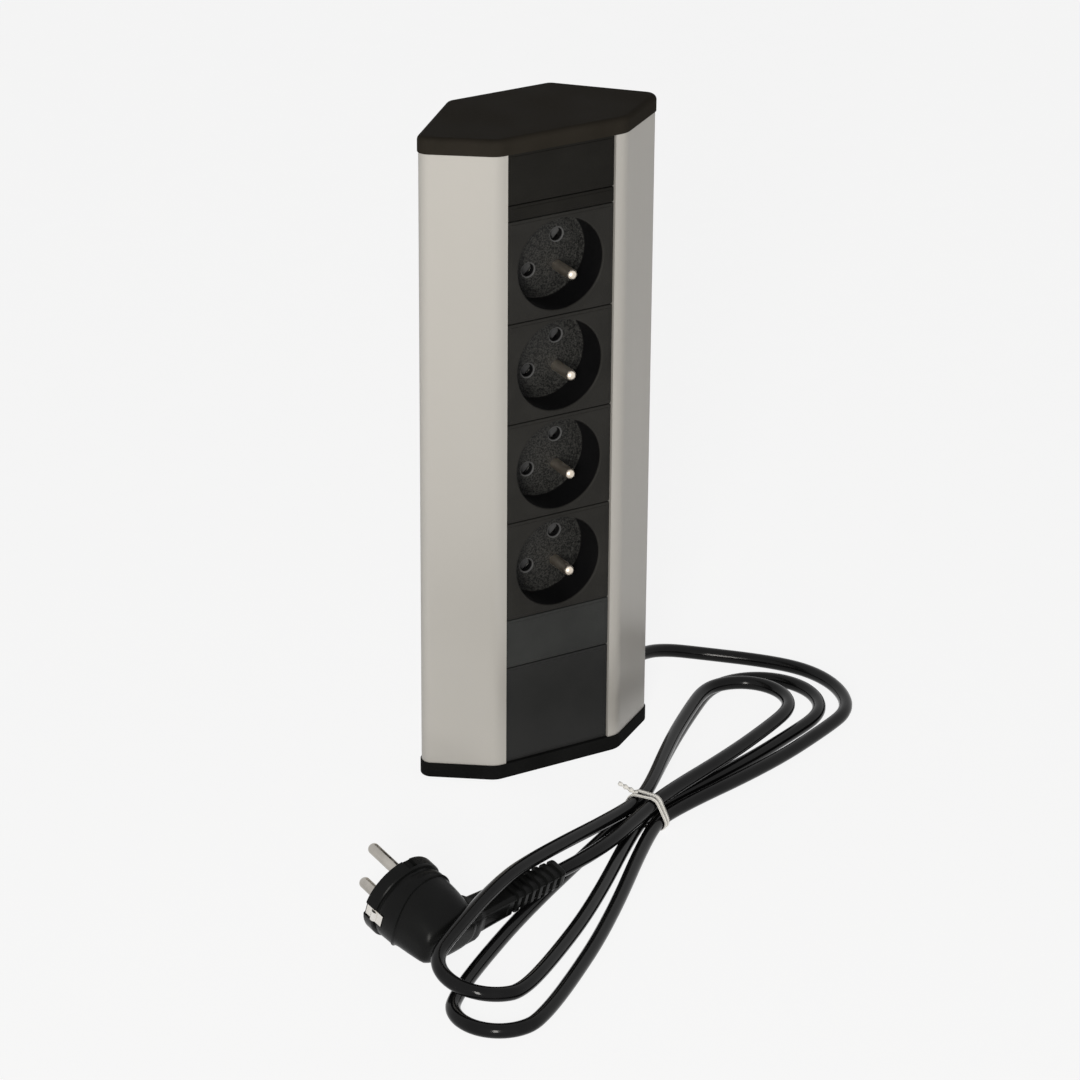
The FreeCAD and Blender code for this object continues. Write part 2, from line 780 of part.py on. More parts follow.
def make_shutter(index):
    """A bar that turns on the post and covers both pin holes, with ramps for the pins."""
    piece = new_body(f"shutter_{index}")
    bar = new_sketch(piece, "XZ_Plane", -SHUTTER_BACK)
    reach = S.shutter_reach * SQRT_HALF
    side = S.shutter_half_width * SQRT_HALF
    draw_outline(bar, [
        (-reach + side, -reach - side),
        (reach + side, reach - side),
        (reach - side, reach + side),
        (-reach - side, -reach + side),
    ])
    extrude(piece, bar, S.shutter_thickness)

    def ramp(edge):
        box = edge.BoundBox
        middle = edge.CenterOfMass
        front = abs(box.YMax - SHUTTER_FRONT.value) < 1e-3
        return front and abs(abs(middle.x - middle.z) - 2 * side.value) < 1e-3
    add_round(piece, ramp, S.shutter_ramp, "Chamfer")
    hub = new_sketch(piece, "XZ_Plane", -SHUTTER_BACK)
    draw_circle(hub, 0, 0, S.hub_radius)
    extrude(piece, hub, S.shutter_thickness)
    bore = new_sketch(piece, "XZ_Plane", -SHUTTER_FRONT)
    draw_circle(bore, 0, 0, S.post_radius + S.running_gap)
    extrude(piece, bore, S.shutter_thickness, "Pocket")
    bind(piece, "Placement.Base.z", socket_height(index))
    return piece


# Wound tubes: stations with a place and a direction, joined by pairs of arcs

def joint_of(p0, t0, p1, t1):
    """The point where the two arcs of a biarc meet."""
    span = p1 - p0
    both = t0 + t1
    bend = 2 * (1 - t0.dot(t1))
    if bend < 1e-9:
        reach = span.dot(span) / (4 * span.dot(t1))
    else:
        along = span.dot(both)
        reach = (-along + math.sqrt(along * along + bend * span.dot(span))) / bend
    return (p0 + p1 + (t0 - t1) * reach) * 0.5


def arc_edge(start, direction, end):
    """The arc that leaves a point in a direction and reaches another point."""
    chord = end - start
    length = chord.Length
    unit = V(chord).normalize()
    cosine = min(1.0, unit.dot(direction))
    half = math.acos(cosine)
    if half < 1e-5:
        return Part.LineSegment(start, end).toShape(), None
    sideways = (direction - unit * cosine).normalize()
    radius = length / 2 / math.sin(half)
    top = (start + end) * 0.5 + sideways * radius * (1 - cosine)
    return Part.Arc(start, top, end).toShape(), radius


def wound_path(stations):
    """Edges of one smooth path through the stations, and the arcs' radii."""
    edges, radii = [], []
    for (p0, t0), (p1, t1) in zip(stations, stations[1:]):
        middle = joint_of(p0, t0, p1, t1)
        first, radius = arc_edge(p0, t0, middle)
        back, other = arc_edge(p1, -t1, middle)
        edges += [first, back]
        radii += [r for r in (radius, other) if r]
    return edges, radii


def swept(edges, start, direction, radius):
    """A round tube along a path."""
    path = Part.Wire(Part.__sortEdges__(edges))
    ring = Part.Wire([Part.makeCircle(radius, start, direction)])
    tube = path.makePipeShell([ring], True, False)
    if tube.ShapeType == "Compound":
        tube = tube.Solids[0]
    return tube, path.Length


def least_gap(edges, radius):
    """The smallest free space between turns of a tube, measured on points along it."""
    path = Part.Wire(Part.__sortEdges__(edges))
    points = path.discretize(Number=int(path.Length / GAP_STEP))
    apart = int(GAP_RANGE * radius / GAP_STEP)
    least = path.Length
    for i, point in enumerate(points):
        for other in points[i + apart:]:
            least = min(least, point.distanceToPoint(other))
    return least - 2 * radius


# The gap is measured between points this far apart, leaving out near ones on the same stretch
GAP_STEP = 1.5
GAP_RANGE = 12


def make_spring(index):
    """A torsion spring round the post, with one leg on the shutter and one on the floor."""
    centre = socket_height(index).value
    radius = S.spring_radius.value
    rise = S.spring_rise.value
    start_y = (SHUTTER_BACK + S.spring_wire).value
    half_turns = 6
    stations = []
    for step in range(half_turns + 1):
        side = 1 if step % 2 == 0 else -1
        point = V(side * radius, start_y + step * rise / 2, centre)
        slope = rise / 2 / (math.pi * radius)
        stations.append((point, V(0, slope, side).normalize()))
    first_point, first_way = stations[0]
    last_point, last_way = stations[-1]
    stations.insert(0, (first_point - first_way * S.spring_leg.value, first_way))
    stations.append((last_point + last_way * S.spring_leg.value, last_way))
    edges, _ = wound_path(stations)
    tube, _ = swept(edges, stations[0][0], stations[0][1], S.spring_wire.value / 2)
    return make_feature(f"shutter_spring_{index}", tube)


# Contact carrier and bus bars

def make_carrier():
    piece = new_body("contact_carrier")
    outer, inner = CARRIER_HALF, CARRIER_HALF - S.carrier_wall
    rib = S.carrier_rib / 2
    rib_front = POST_END + S.fit_gap / 3
    half = [
        (rib, rib_front),
        (rib, CARRIER_BASE),
        (inner, CARRIER_BASE),
        (inner, CARRIER_FRONT),
        (outer, CARRIER_FRONT),
        (outer, CARRIER_REAR),
    ]
    section = new_sketch(piece, "XY_Plane", CARRIER_LOW)
    draw_outline(section, mirrored(half))
    extrude(piece, section, SOCKETS_HIGH - CARRIER_LOW)
    end = new_sketch(piece, "XY_Plane", SOCKETS_HIGH - S.carrier_wall)
    end_half = outer - S.carrier_wall / 2
    draw_box(end, -end_half, end_half, POST_END, CARRIER_BASE + S.carrier_wall / 2)
    extrude(piece, end, S.carrier_wall)
    holes = new_sketch(piece, "XZ_Plane", -CARRIER_BASE)
    for x, z in carrier_screw_places():
        draw_circle(holes, x, z, BORE_RADIUS)
    extrude(piece, holes, S.carrier_wall, "Pocket")
    return piece


def new_box(name, low, size):
    box = doc.addObject("Part::Box", name)
    for prop, value in zip(("Length", "Width", "Height"), size):
        bind(box, prop, value)
    for axis, value in zip("xyz", low):
        bind(box, f"Placement.Base.{axis}", value)
    return box


def new_rod(name, base, radius, length):
    """A cylinder that runs towards +Y."""
    rod = doc.addObject("Part::Cylinder", name)
    bind(rod, "Radius", radius)
    bind(rod, "Height", length)
    rod.Placement = FreeCAD.Placement(V(0, 0, 0), FreeCAD.Rotation(V(1, 0, 0), -90))
    for axis, value in zip("xyz", base):
        bind(rod, f"Placement.Base.{axis}", value)
    return rod


def join(name, parts, tools):
    """Fuse the parts, and take the tools away."""
    whole = doc.addObject("Part::MultiFuse", name if not tools else name + "_whole")
    whole.Shapes = parts
    if tools:
        waste = doc.addObject("Part::MultiFuse", name + "_waste")
        waste.Shapes = tools
        whole_cut = doc.addObject("Part::Cut", name)
        whole_cut.Base = whole
        whole_cut.Tool = waste
        whole = whole_cut
    whole.Label = name
    return whole


def make_pin_busbar(name, side):
    """A flat bar with a slotted spring contact behind each pin hole of its side."""
    bar_front = CARRIER_BASE - S.bar_thickness
    x = side * PIN_PLACE
    low = CARRIER_LOW + S.carrier_wall
    top = socket_height(1) + side * PIN_PLACE + S.contact_radius
    bar_low = (x - S.bar_width / 2, bar_front, low)
    parts = [new_box(name + "_bar", bar_low, (S.bar_width, S.bar_thickness, top - low))]
    tools = []
    contact_front = SHUTTER_BACK + S.contact_gap
    contact_length = bar_front - contact_front
    contact_reach = contact_length + S.bar_thickness / 2
    cut_front = contact_front - PAST
    bore_radius = S.pin_radius + S.running_gap
    wide = 2 * (S.contact_radius + PAST)
    narrow = S.contact_slot
    slot_depth = S.contact_slot_depth + PAST
    for index in range(1, SOCKET_COUNT + 1):
        z = socket_height(index) + side * PIN_PLACE
        tag = f"{name}_{index}"
        parts.append(new_rod(tag + "_contact", (x, contact_front, z), S.contact_radius, contact_reach))
        tools.append(new_rod(tag + "_bore", (x, cut_front, z), bore_radius, contact_length + PAST))
        level_low = (x - wide / 2, cut_front, z - narrow / 2)
        tools.append(new_box(tag + "_level_slot", level_low, (wide, slot_depth, narrow)))
        upright_low = (x - narrow / 2, cut_front, z - wide / 2)
        tools.append(new_box(tag + "_upright_slot", upright_low, (narrow, slot_depth, wide)))
    return join(name, parts, tools)


def make_earth_busbar():
    """A strip beside the contacts with a tab that each earth pin is riveted to."""
    name = "earth_busbar"
    low = CARRIER_LOW + S.carrier_wall
    top = socket_height(1) - EARTH_PLACE + S.earth_tab_width / 2
    thick = S.earth_bar_thickness
    bar_low = (EARTH_BAR_PLACE, EARTH_BAR_FRONT, low)
    parts = [new_box(name + "_bar", bar_low, (S.earth_bar_width, thick, top - low))]
    tools = []
    tab_start = EARTH_PLACE - S.earth_tab_width / 2
    tab_length = EARTH_BAR_PLACE - tab_start + PAST
    for index in range(1, SOCKET_COUNT + 1):
        z = socket_height(index) - EARTH_PLACE
        tag = f"{name}_{index}"
        tab_low = (tab_start, EARTH_BAR_FRONT, z - S.earth_tab_width / 2)
        parts.append(new_box(tag + "_tab", tab_low, (tab_length, thick, S.earth_tab_width)))
        hole = (EARTH_PLACE, EARTH_BAR_FRONT - PAST, z)
        hole_radius = S.earth_tail_radius + S.running_gap
        tools.append(new_rod(tag + "_hole", hole, hole_radius, thick + 2 * PAST))
    return join(name, parts, tools)


# Cord outlet, grip and inner wires

def outlet_axis():
    return V(SQRT_HALF, SQRT_HALF, 0)


def outlet_point(distance):
    x, y = exit_point(distance)
    return vector(x, y, EXIT_HEIGHT)


def outlet_rod(start, length, radius, tip_radius=None):
    """A cylinder or cone on the line of the cord outlet, with its start measured from the face."""
    base = outlet_point(as_size(start))
    length, radius = as_size(length).value, as_size(radius).value
    if tip_radius is None:
        return Part.makeCylinder(radius, length, base, outlet_axis())
    return Part.makeCone(radius, as_size(tip_radius).value, length, base, outlet_axis())


def make_outlet():
    """The grommet with its flanges and tapered relief, the cord inside it and the cord grip."""
    relief_start = S.flange_thickness
    inside = S.wall + S.fit_gap / 3
    neck = outlet_rod(-inside, inside, S.neck_radius)
    outer_flange = outlet_rod(Size(0), S.flange_thickness, S.flange_radius)
    inner_flange = outlet_rod(-inside - S.flange_thickness, S.flange_thickness, S.flange_radius)
    relief = outlet_rod(relief_start, S.relief_length, S.relief_root_radius, S.relief_tip_radius)
    grommet = neck.fuse([outer_flange, inner_flange])
    below = outlet_rod(-inside - S.flange_thickness, inside + 2 * S.flange_thickness, 2 * S.flange_radius)
    span = 2 * S.half_width.value
    room = Part.makeBox(2 * span, 2 * span, (BASE + S.running_gap).value, V(-span, -span, 0))
    grommet = grommet.cut(below.common(room)).fuse(relief).removeSplitter()
    tip = relief_start + S.relief_length
    bore_length = tip + inside + S.flange_thickness + 2 * PAST
    bore_start = -inside - S.flange_thickness - PAST
    bore = outlet_rod(bore_start, bore_length, CORD_RADIUS + S.running_gap)
    make_feature("cord_grommet", grommet.cut(bore))
    start = -S.inner_cord_length
    make_feature("cord_sheath_end", outlet_rod(start, tip - start, CORD_RADIUS))
    make_grip_bar()


def make_grip_bar():
    piece = new_body("cord_clamp")
    level = EXIT_HEIGHT + CORD_RADIUS
    middle = -S.grip_distance
    start, end = middle - S.grip_width / 2, middle + S.grip_width / 2
    drawing = new_sketch(piece, "XY_Plane", level)
    draw_outline(drawing, slanted_box(start, end, S.grip_half_length))
    for x, y in grip_screw_places():
        draw_circle(drawing, x, y, BORE_RADIUS)
    extrude(piece, drawing, S.grip_bar_height)
    return piece


def bend_path(points):
    """Straight runs joined by tangent arcs, and the radius of each arc."""
    edges, radii = [], []
    start = points[0]
    for i in range(1, len(points) - 1):
        here = points[i]
        back = points[i - 1] - here
        ahead = points[i + 1] - here
        shorter = min(back.Length, ahead.Length)
        back_way = V(back).normalize()
        ahead_way = V(ahead).normalize()
        turn = math.pi - back_way.getAngle(ahead_way)
        cut = RUN_SHARE * shorter
        radius = cut / math.tan(turn / 2)
        first = here + back_way * cut
        last = here + ahead_way * cut
        inward = V(back_way + ahead_way).normalize()
        middle = here + inward * (radius / math.cos(turn / 2) - radius)
        edges.append(Part.LineSegment(start, first).toShape())
        edges.append(Part.Arc(first, middle, last).toShape())
        radii.append(radius)
        start = last
    edges.append(Part.LineSegment(start, points[-1]).toShape())
    return edges, radii


RUN_SHARE = 0.45


def make_tube(name, points, radius):
    edges, radii = bend_path(points)
    tube, length = swept(edges, points[0], (points[1] - points[0]).normalize(), radius)
    expected = math.pi * radius * radius * length
    if abs(tube.Volume / expected - 1) > 0.01:
        raise ValueError(f"{name}: the tube's volume is off")
    print(name, "length", round(length), "radii", [round(r, 1) for r in radii])
    return make_feature(name, tube)


# Each core: its place in the sheath, its first straight and the turns of its route
CORE_ROUTES = {
    "live_wire": (-0.7, 1.2, 5.0, [(28.0, -9.0, 23.0), (20.0, -1.0, 36.0)]),
    "neutral_wire": (-0.7, -1.2, 8.0, [(29.8, -12.5, 22.0), (21.0, -6.5, 34.0)]),
    "earth_wire": (1.4, 0.0, 4.0, [(31.0, -6.0, 20.0), (27.5, -4.0, 33.0)]),
}
CORE_RISE = 12.0
CORE_OVERLAP = 5.0


def core_start(across, above):
    """Where a core leaves the end of the sheath inside the housing."""
    x, y = exit_point(-S.inner_cord_length)
    return vector(x - across * SQRT_HALF, y + across * SQRT_HALF, EXIT_HEIGHT + above)


def make_cores():
    """The three cores from the sheath to the lower ends of the bars, and the earth link."""
    radius = S.core_radius.value
    bar_low = CARRIER_LOW + S.carrier_wall
    contact_foot = CARRIER_BASE - S.bar_thickness - S.core_radius
    earth_foot = EARTH_BAR_FRONT + S.earth_bar_thickness + S.core_radius
    earth_bar_middle = EARTH_BAR_PLACE + S.earth_bar_width / 2
    feet = {
        "live_wire": (PIN_PLACE, contact_foot),
        "neutral_wire": (-PIN_PLACE, contact_foot),
        "earth_wire": (earth_bar_middle, earth_foot),
    }
    for name, (x, y) in feet.items():
        across, above, straight, turns = CORE_ROUTES[name]
        start = core_start(across, above)
        points = [start, start - outlet_axis() * straight] + [V(*turn) for turn in turns]
        points.append(vector(x, y, bar_low - CORE_RISE))
        points.append(vector(x, y, bar_low + CORE_OVERLAP))
        make_tube(name, points, radius)


# Hank: loops drawn in alike at the waist

WAIST = V(5.0, -92.0, 0.0)
HEADING = 32.0
RIGHT_LOOPS = [(117.0, 7.0, 42.0, -8.0), (118.0, 3.0, 26.0, 8.0), (104.0, 5.0, 20.0, 6.0)]
LEFT_LOOPS = [(-162.0, -19.0, 18.0, 8.0), (-154.0, -8.0, 18.0, 4.0)]
CROSSING = (-112.0, 11.0, 23.4)
TURN_RISE = 8.5
LEAD_STRAIGHT = 6.0
FIRST_TURN = -75.0


def hank_axes():
    angle = math.radians(HEADING)
    along = V(math.cos(angle), math.sin(angle), 0)
    across = V(-math.sin(angle), math.cos(angle), 0)
    return along, across


def hank_point(along, across, height):
    first, second = hank_axes()
    return WAIST + first * along + second * across + V(0, 0, height)


def hank_way(turn, slope=0.0):
    angle = math.radians(HEADING + turn)
    rise = math.radians(slope)
    return V(math.cos(angle) * math.cos(rise), math.sin(angle) * math.cos(rise), math.sin(rise))


def on_loop(loop, turn, height):
    """A station on the round end of a loop, where the cord runs in this direction."""
    along, across, radius, _ = loop
    angle = math.radians(turn + 90)
    point = hank_point(along + radius * math.cos(angle), across + radius * math.sin(angle), height)
    return point, hank_way(turn)


def make_cord():
    """The free lead from the outlet, and the hank that it runs into."""
    radius = CORD_RADIUS.value
    low = radius + S.floor_gap.value
    layer = (S.cord_diameter + S.strand_gap).value
    waist_low = low + S.waist_lift.value
    waist_high = waist_low + layer
    right_1, right_2, right_3 = RIGHT_LOOPS
    left_1, left_2 = LEFT_LOOPS
    tip, arm_way = plug_cord_end()
    first_point, first_way = on_loop(right_1, FIRST_TURN, low)
    stations = [
        (first_point - first_way * LEAD_STRAIGHT, first_way),
        (first_point, first_way),
        on_loop(right_1, -180 - right_1[3], low),
        (hank_point(0, -layer, waist_low), hank_way(180)),
        on_loop(left_1, -180 + left_1[3], low),
        on_loop(left_1, -360 + left_1[3] / 2, low),
        (hank_point(0, layer, waist_low), hank_way(0)),
        on_loop(right_2, right_2[3], low),
        on_loop(right_2, -180 - right_2[3], low),
        (hank_point(0, 0, waist_low), hank_way(180)),
        on_loop(left_2, -180 + left_2[3], low + layer),
        on_loop(left_2, -360 - left_2[3], low + layer + TURN_RISE),
        (hank_point(*CROSSING), hank_way(1, -1)),
        (hank_point(0, layer / 2, waist_high), hank_way(0)),
        on_loop(right_3, right_3[3], low + layer),
        on_loop(right_3, -180 - right_3[3], low + layer),
        (hank_point(0, -layer / 2, waist_high), hank_way(180)),
        (tip + arm_way * S.cord_diameter.value, -arm_way),
        (tip, -arm_way),
    ]
    edges, radii = wound_path(stations)
    hank, length = swept(edges, stations[0][0], stations[0][1], radius)
    gap = least_gap(edges, radius)
    print("cord_hank length", round(length), "least radius", round(min(radii), 1))
    print("cord_hank least gap", round(gap, 2))
    make_feature("cord_hank", hank)
    outlet = outlet_point(S.flange_thickness + S.relief_length)
    joint, way = stations[0]
    points = [outlet] + [V(*p) for p in LEAD_POINTS] + [joint - way * LEAD_LAST_RUN, joint]
    make_tube("cord_lead", points, radius)


LEAD_POINTS = [
    (69.5, 27.0, 10.8),
    (80.4, 31.6, 9.8),
    (91.9, 32.2, 7.4),
    (103.6, 28.6, 4.8),
]
LEAD_LAST_RUN = 12.0


TWIST_ACROSS = 0.9
TWIST_BACK = 0.35


def make_tie():
    """A paper covered wire tie: two bands round the waist, joined by their twisted ends."""
    along, across = hank_axes()
    radius = CORD_RADIUS.value
    layer = (S.cord_diameter + S.strand_gap).value
    low = radius + S.floor_gap.value + S.waist_lift.value
    high = low + layer
    centres = [(-layer, low), (layer, low), (layer / 2, high), (-layer / 2, high)]
    corners = [WAIST + across * c + V(0, 0, z) for c, z in centres]
    core = Part.makePolygon(corners + [corners[0]])
    inner = core.makeOffset2D(radius + S.tie_gap.value)
    outer = core.makeOffset2D((radius + S.tie_gap.value) + S.tie_thickness.value)
    ring = Part.Face(outer).cut(Part.Face(inner))
    bands = []
    for side in (-1, 1):
        start = along * (side * S.tie_spacing.value / 2 - S.tie_width.value / 2)
        band = ring.copy()
        band.translate(start)
        bands.append(band.extrude(along * S.tie_width.value))
    lean = (V(0, 0, 1) + across * TWIST_ACROSS - along * TWIST_BACK).normalize()
    top = high + radius + S.tie_gap.value + S.tie_thickness.value / 2
    root = WAIST + across * (layer / 2) + V(0, 0, top)
    spacing = S.tie_spacing.value
    bridge = Part.makeCylinder(S.tie_thickness.value / 2, spacing, root - along * spacing / 2, along)
    twist = Part.makeCylinder(S.twist_radius.value, S.twist_length.value, root, lean)
    tie = bands[0].fuse([bands[1], bridge, twist]).removeSplitter()
    return make_feature("cord_tie", tie)


# Plug, built with its face on z = 0, its pins upwards and its arm towards +X

PLUG_HEADING = 105.0
PLUG_TILT = 17.8
PLUG_X = -128.0
PLUG_Y = -120.0
ARM_RISE = 0.8


def plug_placement():
    heading = math.radians(PLUG_HEADING)
    tilt = math.radians(PLUG_TILT)
    rise = math.radians(ARM_RISE)
    pins = V(math.cos(heading) * math.cos(tilt), math.sin(heading) * math.cos(tilt), math.sin(tilt))
    side = heading - math.pi / 2
    arm = V(math.cos(side) * math.cos(rise), math.sin(side) * math.cos(rise), math.sin(rise))
    arm = (arm - pins * arm.dot(pins)).normalize()
    lift = S.plug_radius.value * math.cos(tilt) + S.plug_face_depth.value * math.sin(tilt)
    base = V(PLUG_X, PLUG_Y, lift + S.plug_floor_gap.value)
    return FreeCAD.Placement(base, FreeCAD.Rotation(arm, pins.cross(arm), pins, "XZY"))


def plug_cord_end():
    placement = plug_placement()
    tip = placement.multVec(V(S.arm_length.value, 0, -S.arm_depth.value))
    return tip, placement.Rotation.multVec(V(1, 0, 0))


def oval(centre, half_x, half_y, axis_x=V(1, 0, 0), axis_y=V(0, 1, 0)):
    """A closed wire of one ellipse or circle."""
    if abs(half_x - half_y) < 1e-6:
        return Part.Wire([Part.makeCircle(half_x, centre, axis_x.cross(axis_y))])
    if half_x > half_y:
        curve = Part.Ellipse(centre + axis_x * half_x, centre + axis_y * half_y, centre)
    else:
        curve = Part.Ellipse(centre + axis_y * half_y, centre - axis_x * half_x, centre)
    return Part.Wire([curve.toShape()])


def plug_head():
    radius = S.plug_radius.value
    shoulder = radius - S.plug_shoulder.value
    face_depth = S.plug_face_depth.value
    depth = S.plug_depth.value
    disc = Part.makeCylinder(radius, face_depth, V(0, 0, -face_depth))
    disc = disc.makeFillet(S.plug_shoulder.value, disc.Edges[:1] + disc.Edges[2:])
    mid = (face_depth + depth) / 2
    mid_x = (shoulder + S.plug_rear_half_width.value) / 2 + S.plug_bulge.value
    mid_y = (shoulder + S.plug_rear_half_height.value) / 2
    grip = Part.makeLoft([
        oval(V(0, 0, -face_depth / 2), shoulder, shoulder),
        oval(V(0, 0, -mid), mid_x, mid_y),
        oval(V(0, 0, -depth), S.plug_rear_half_width.value, S.plug_rear_half_height.value),
    ], True, False)
    return disc.fuse(grip)


def plug_arm():
    """The ribbed arm, with windows between its ribs on both sides of a core."""
    axis_x, axis_y = V(0, 0, 1), V(0, 1, 0)
    depth = -S.arm_depth.value
    length = S.arm_length.value
    tip = S.arm_tip_radius.value
    root_x, root_y = S.arm_root_half_width.value, S.arm_root_half_height.value
    start = S.rib_start.value
    mid = V(start - S.rib_pitch.value, 0, depth)
    arm = Part.makeLoft([
        oval(V(0, 0, depth), root_x, root_y, axis_x, axis_y),
        oval(mid, (root_x + tip) / 2, (root_y + tip) / 2, axis_x, axis_y),
        oval(V(length, 0, depth), tip, tip, axis_x, axis_y),
    ], True, False)
    core = S.rib_core_radius.value
    window_half = S.rib_window_half.value
    slot = S.rib_slot.value
    for step in range(RIB_COUNT):
        x = start + step * S.rib_pitch.value
        for side in (-1, 1):
            low = depth + core if side > 0 else depth - core - root_x
            window = Part.makeBox(slot, 2 * window_half, root_x, V(x, -window_half, low))
            arm = arm.cut(window)
    return arm


def make_plug():
    placement = plug_placement()
    radius = S.plug_radius.value
    face = S.bridge_face.value
    bridge_depth = S.bridge_height.value
    gap = S.running_gap.value
    body = plug_head().fuse(plug_arm()).removeSplitter()
    cavity = Part.makeCylinder(S.bridge_radius.value, bridge_depth, V(0, 0, -face - bridge_depth))
    body = body.cut(cavity)
    bridge_start = V(0, 0, gap - face - bridge_depth)
    bridge = Part.makeCylinder(S.bridge_radius.value - gap, bridge_depth - 2 * gap, bridge_start)
    half = S.pin_spacing.value / 2
    pin_radius = S.pin_radius.value
    root_radius = S.plug_pin_root_radius.value
    root = face + S.plug_pin_root.value
    for side, name in ((1, "plug_live_pin"), (-1, "plug_neutral_pin")):
        place_y = side * half
        shank = Part.makeCylinder(pin_radius, S.plug_pin_length.value, V(0, place_y, 0))
        top = max(shank.Edges, key=lambda e: e.BoundBox.ZMin)
        stem = Part.makeCylinder(root_radius, root, V(0, place_y, -root))
        pin = shank.makeFillet(pin_radius * PIN_ROUND, [top]).fuse(stem)
        hole = Part.makeCylinder(root_radius + gap, root + PAST, V(0, place_y, -root - gap))
        body = body.cut(hole)
        bridge = bridge.cut(hole)
        make_plug_piece(name, pin, placement)
    earth_radius = pin_radius + S.fit_gap.value
    earth = Part.makeCylinder(earth_radius, root, V(-S.earth_offset.value, 0, -root))
    body = body.cut(earth)
    bridge = bridge.cut(earth)
    width = S.clip_width.value
    length = S.clip_length.value
    notch = S.clip_notch_depth.value
    thick = S.clip_thickness.value
    room = S.fit_gap.value
    clips = []
    for side in (-1, 1):
        inner = radius - notch
        low_x = inner if side > 0 else -inner - 2 * notch
        notch_low = V(low_x, -width / 2 - room, PAST - length)
        body = body.cut(Part.makeBox(2 * notch, width + 2 * room, length, notch_low))
        clip_x = inner if side > 0 else -inner - thick
        clip = Part.makeBox(thick, width, length - 2 * PAST, V(clip_x, -width / 2, PAST - length))
        bump_low = V(side * (inner + thick / 2), (PAST - width) / 2, -length / 2)
        bump = Part.makeCylinder(notch, width - PAST, bump_low, V(0, 1, 0))
        keep = Part.makeBox(2 * notch, width, length, V(low_x, -width / 2, -length))
        clips.append(clip.fuse(bump.common(keep)).removeSplitter())
    make_plug_piece("plug_earth_clips", Part.makeCompound(clips), placement)
    make_plug_piece("plug_bridge", bridge, placement)
    make_plug_piece("plug_body", body, placement)


def make_plug_piece(name, shape, placement):
    piece = make_feature(name, shape)
    piece.Placement = placement


# Checking and writing

def sub_parts():
    """Every object that is a piece of its own, and not a step towards one."""
    used = set()
    for thing in doc.Objects:
        if thing.TypeId in ("Part::Cut", "Part::MultiFuse"):
            used.update(part.Name for part in thing.OutList)
    kinds = ("PartDesign::Body", "Part::Feature", "Part::Cut", "Part::MultiFuse")
    return [t for t in doc.Objects if t.TypeId in kinds and t.Name not in used]


def check_document():
    doc.recompute()
    for thing in doc.Objects:
        if "Invalid" in thing.State or "Error" in thing.State:
            raise ValueError(f"{thing.Name} is not well: {thing.State}")


def write_parts():
    os.makedirs("parts", exist_ok=True)
    for piece in sub_parts():
        shape = piece.Shape
        if shape.isNull() or not shape.isValid() or not shape.Solids:
            raise ValueError(f"{piece.Label} has no valid solid")
        shape.exportStep(f"parts/{piece.Label}.step")
        print(piece.Label, len(shape.Solids), round(shape.Volume, 1))


make_profile()
make_top_cap()
make_bottom_cap()
make_screws()
make_front_strip()
for number in range(1, SOCKET_COUNT + 1):
    make_earth_pin(number)
    make_shutter(number)
    make_spring(number)
make_carrier()
make_pin_busbar("live_busbar", 1)
make_pin_busbar("neutral_busbar", -1)
make_earth_busbar()
make_outlet()
make_cores()
make_plug()
make_cord()
make_tie()
check_document()
write_parts()
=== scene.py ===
"""Looks of the corner power strip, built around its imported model. Sizes are written in millimetres."""
import math

import bmesh
import bpy
from mathutils import Matrix, Vector
from mathutils.geometry import tessellate_polygon


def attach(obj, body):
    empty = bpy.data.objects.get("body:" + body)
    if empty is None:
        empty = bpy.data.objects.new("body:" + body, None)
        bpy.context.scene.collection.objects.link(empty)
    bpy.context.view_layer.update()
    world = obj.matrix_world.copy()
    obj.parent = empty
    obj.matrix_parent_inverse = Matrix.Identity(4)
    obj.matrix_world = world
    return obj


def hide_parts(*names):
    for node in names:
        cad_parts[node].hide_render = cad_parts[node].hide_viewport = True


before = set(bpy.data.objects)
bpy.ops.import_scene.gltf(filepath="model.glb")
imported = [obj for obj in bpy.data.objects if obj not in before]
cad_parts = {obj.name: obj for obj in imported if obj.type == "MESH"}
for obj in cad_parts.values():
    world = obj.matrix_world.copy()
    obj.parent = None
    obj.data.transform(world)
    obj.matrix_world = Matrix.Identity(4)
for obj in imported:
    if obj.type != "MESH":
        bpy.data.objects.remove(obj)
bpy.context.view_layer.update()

MM = 0.001
ROOT = "housing"
HALF_ROOT = math.sqrt(0.5)

# Sizes of the part, repeated from its source
BASE = 7.0
TOP = 284.0
COVER_TOP = 52.0
SOCKETS_LOW = 74.5
SOCKET_PITCH = 45.0
SOCKETS_HIGH = 254.5
SPACER_TOP = 261.5
PLATE_FRONT = -26.0
PLATE_BACK = -23.4
PLATE_HALF = 24.9
PLATE_GAP = 0.4
WELL_RADIUS = 20.0
FLOOR_FRONT = -10.5
FLOOR_BACK = -7.5
PIN_PLACE = 9.5 * HALF_ROOT
EARTH_PLACE = 10.0 * HALF_ROOT
PIN_HOLE_RADIUS = 2.8
EARTH_TAIL_RADIUS = 1.75
CORD_DIAMETER = 6.0
SOCKETS = {number: SOCKETS_HIGH - (number - 0.5) * SOCKET_PITCH for number in (1, 2, 3, 4)}


def metres(point):
    return Vector(point) * MM


# Camera: the photograph's view. Its place is in millimetres, its turns in radians

CAMERA_PLACE = (-833.685, -1462.962, 887.062)
CAMERA_PITCH = 0.439
CAMERA_YAW = 0.521
CAMERA_ROLL = 0.007
FOCAL_PIXELS = 4346.8
IMAGE_PIXELS = 1080
SENSOR = 36.0
CLIP_END = 50.0


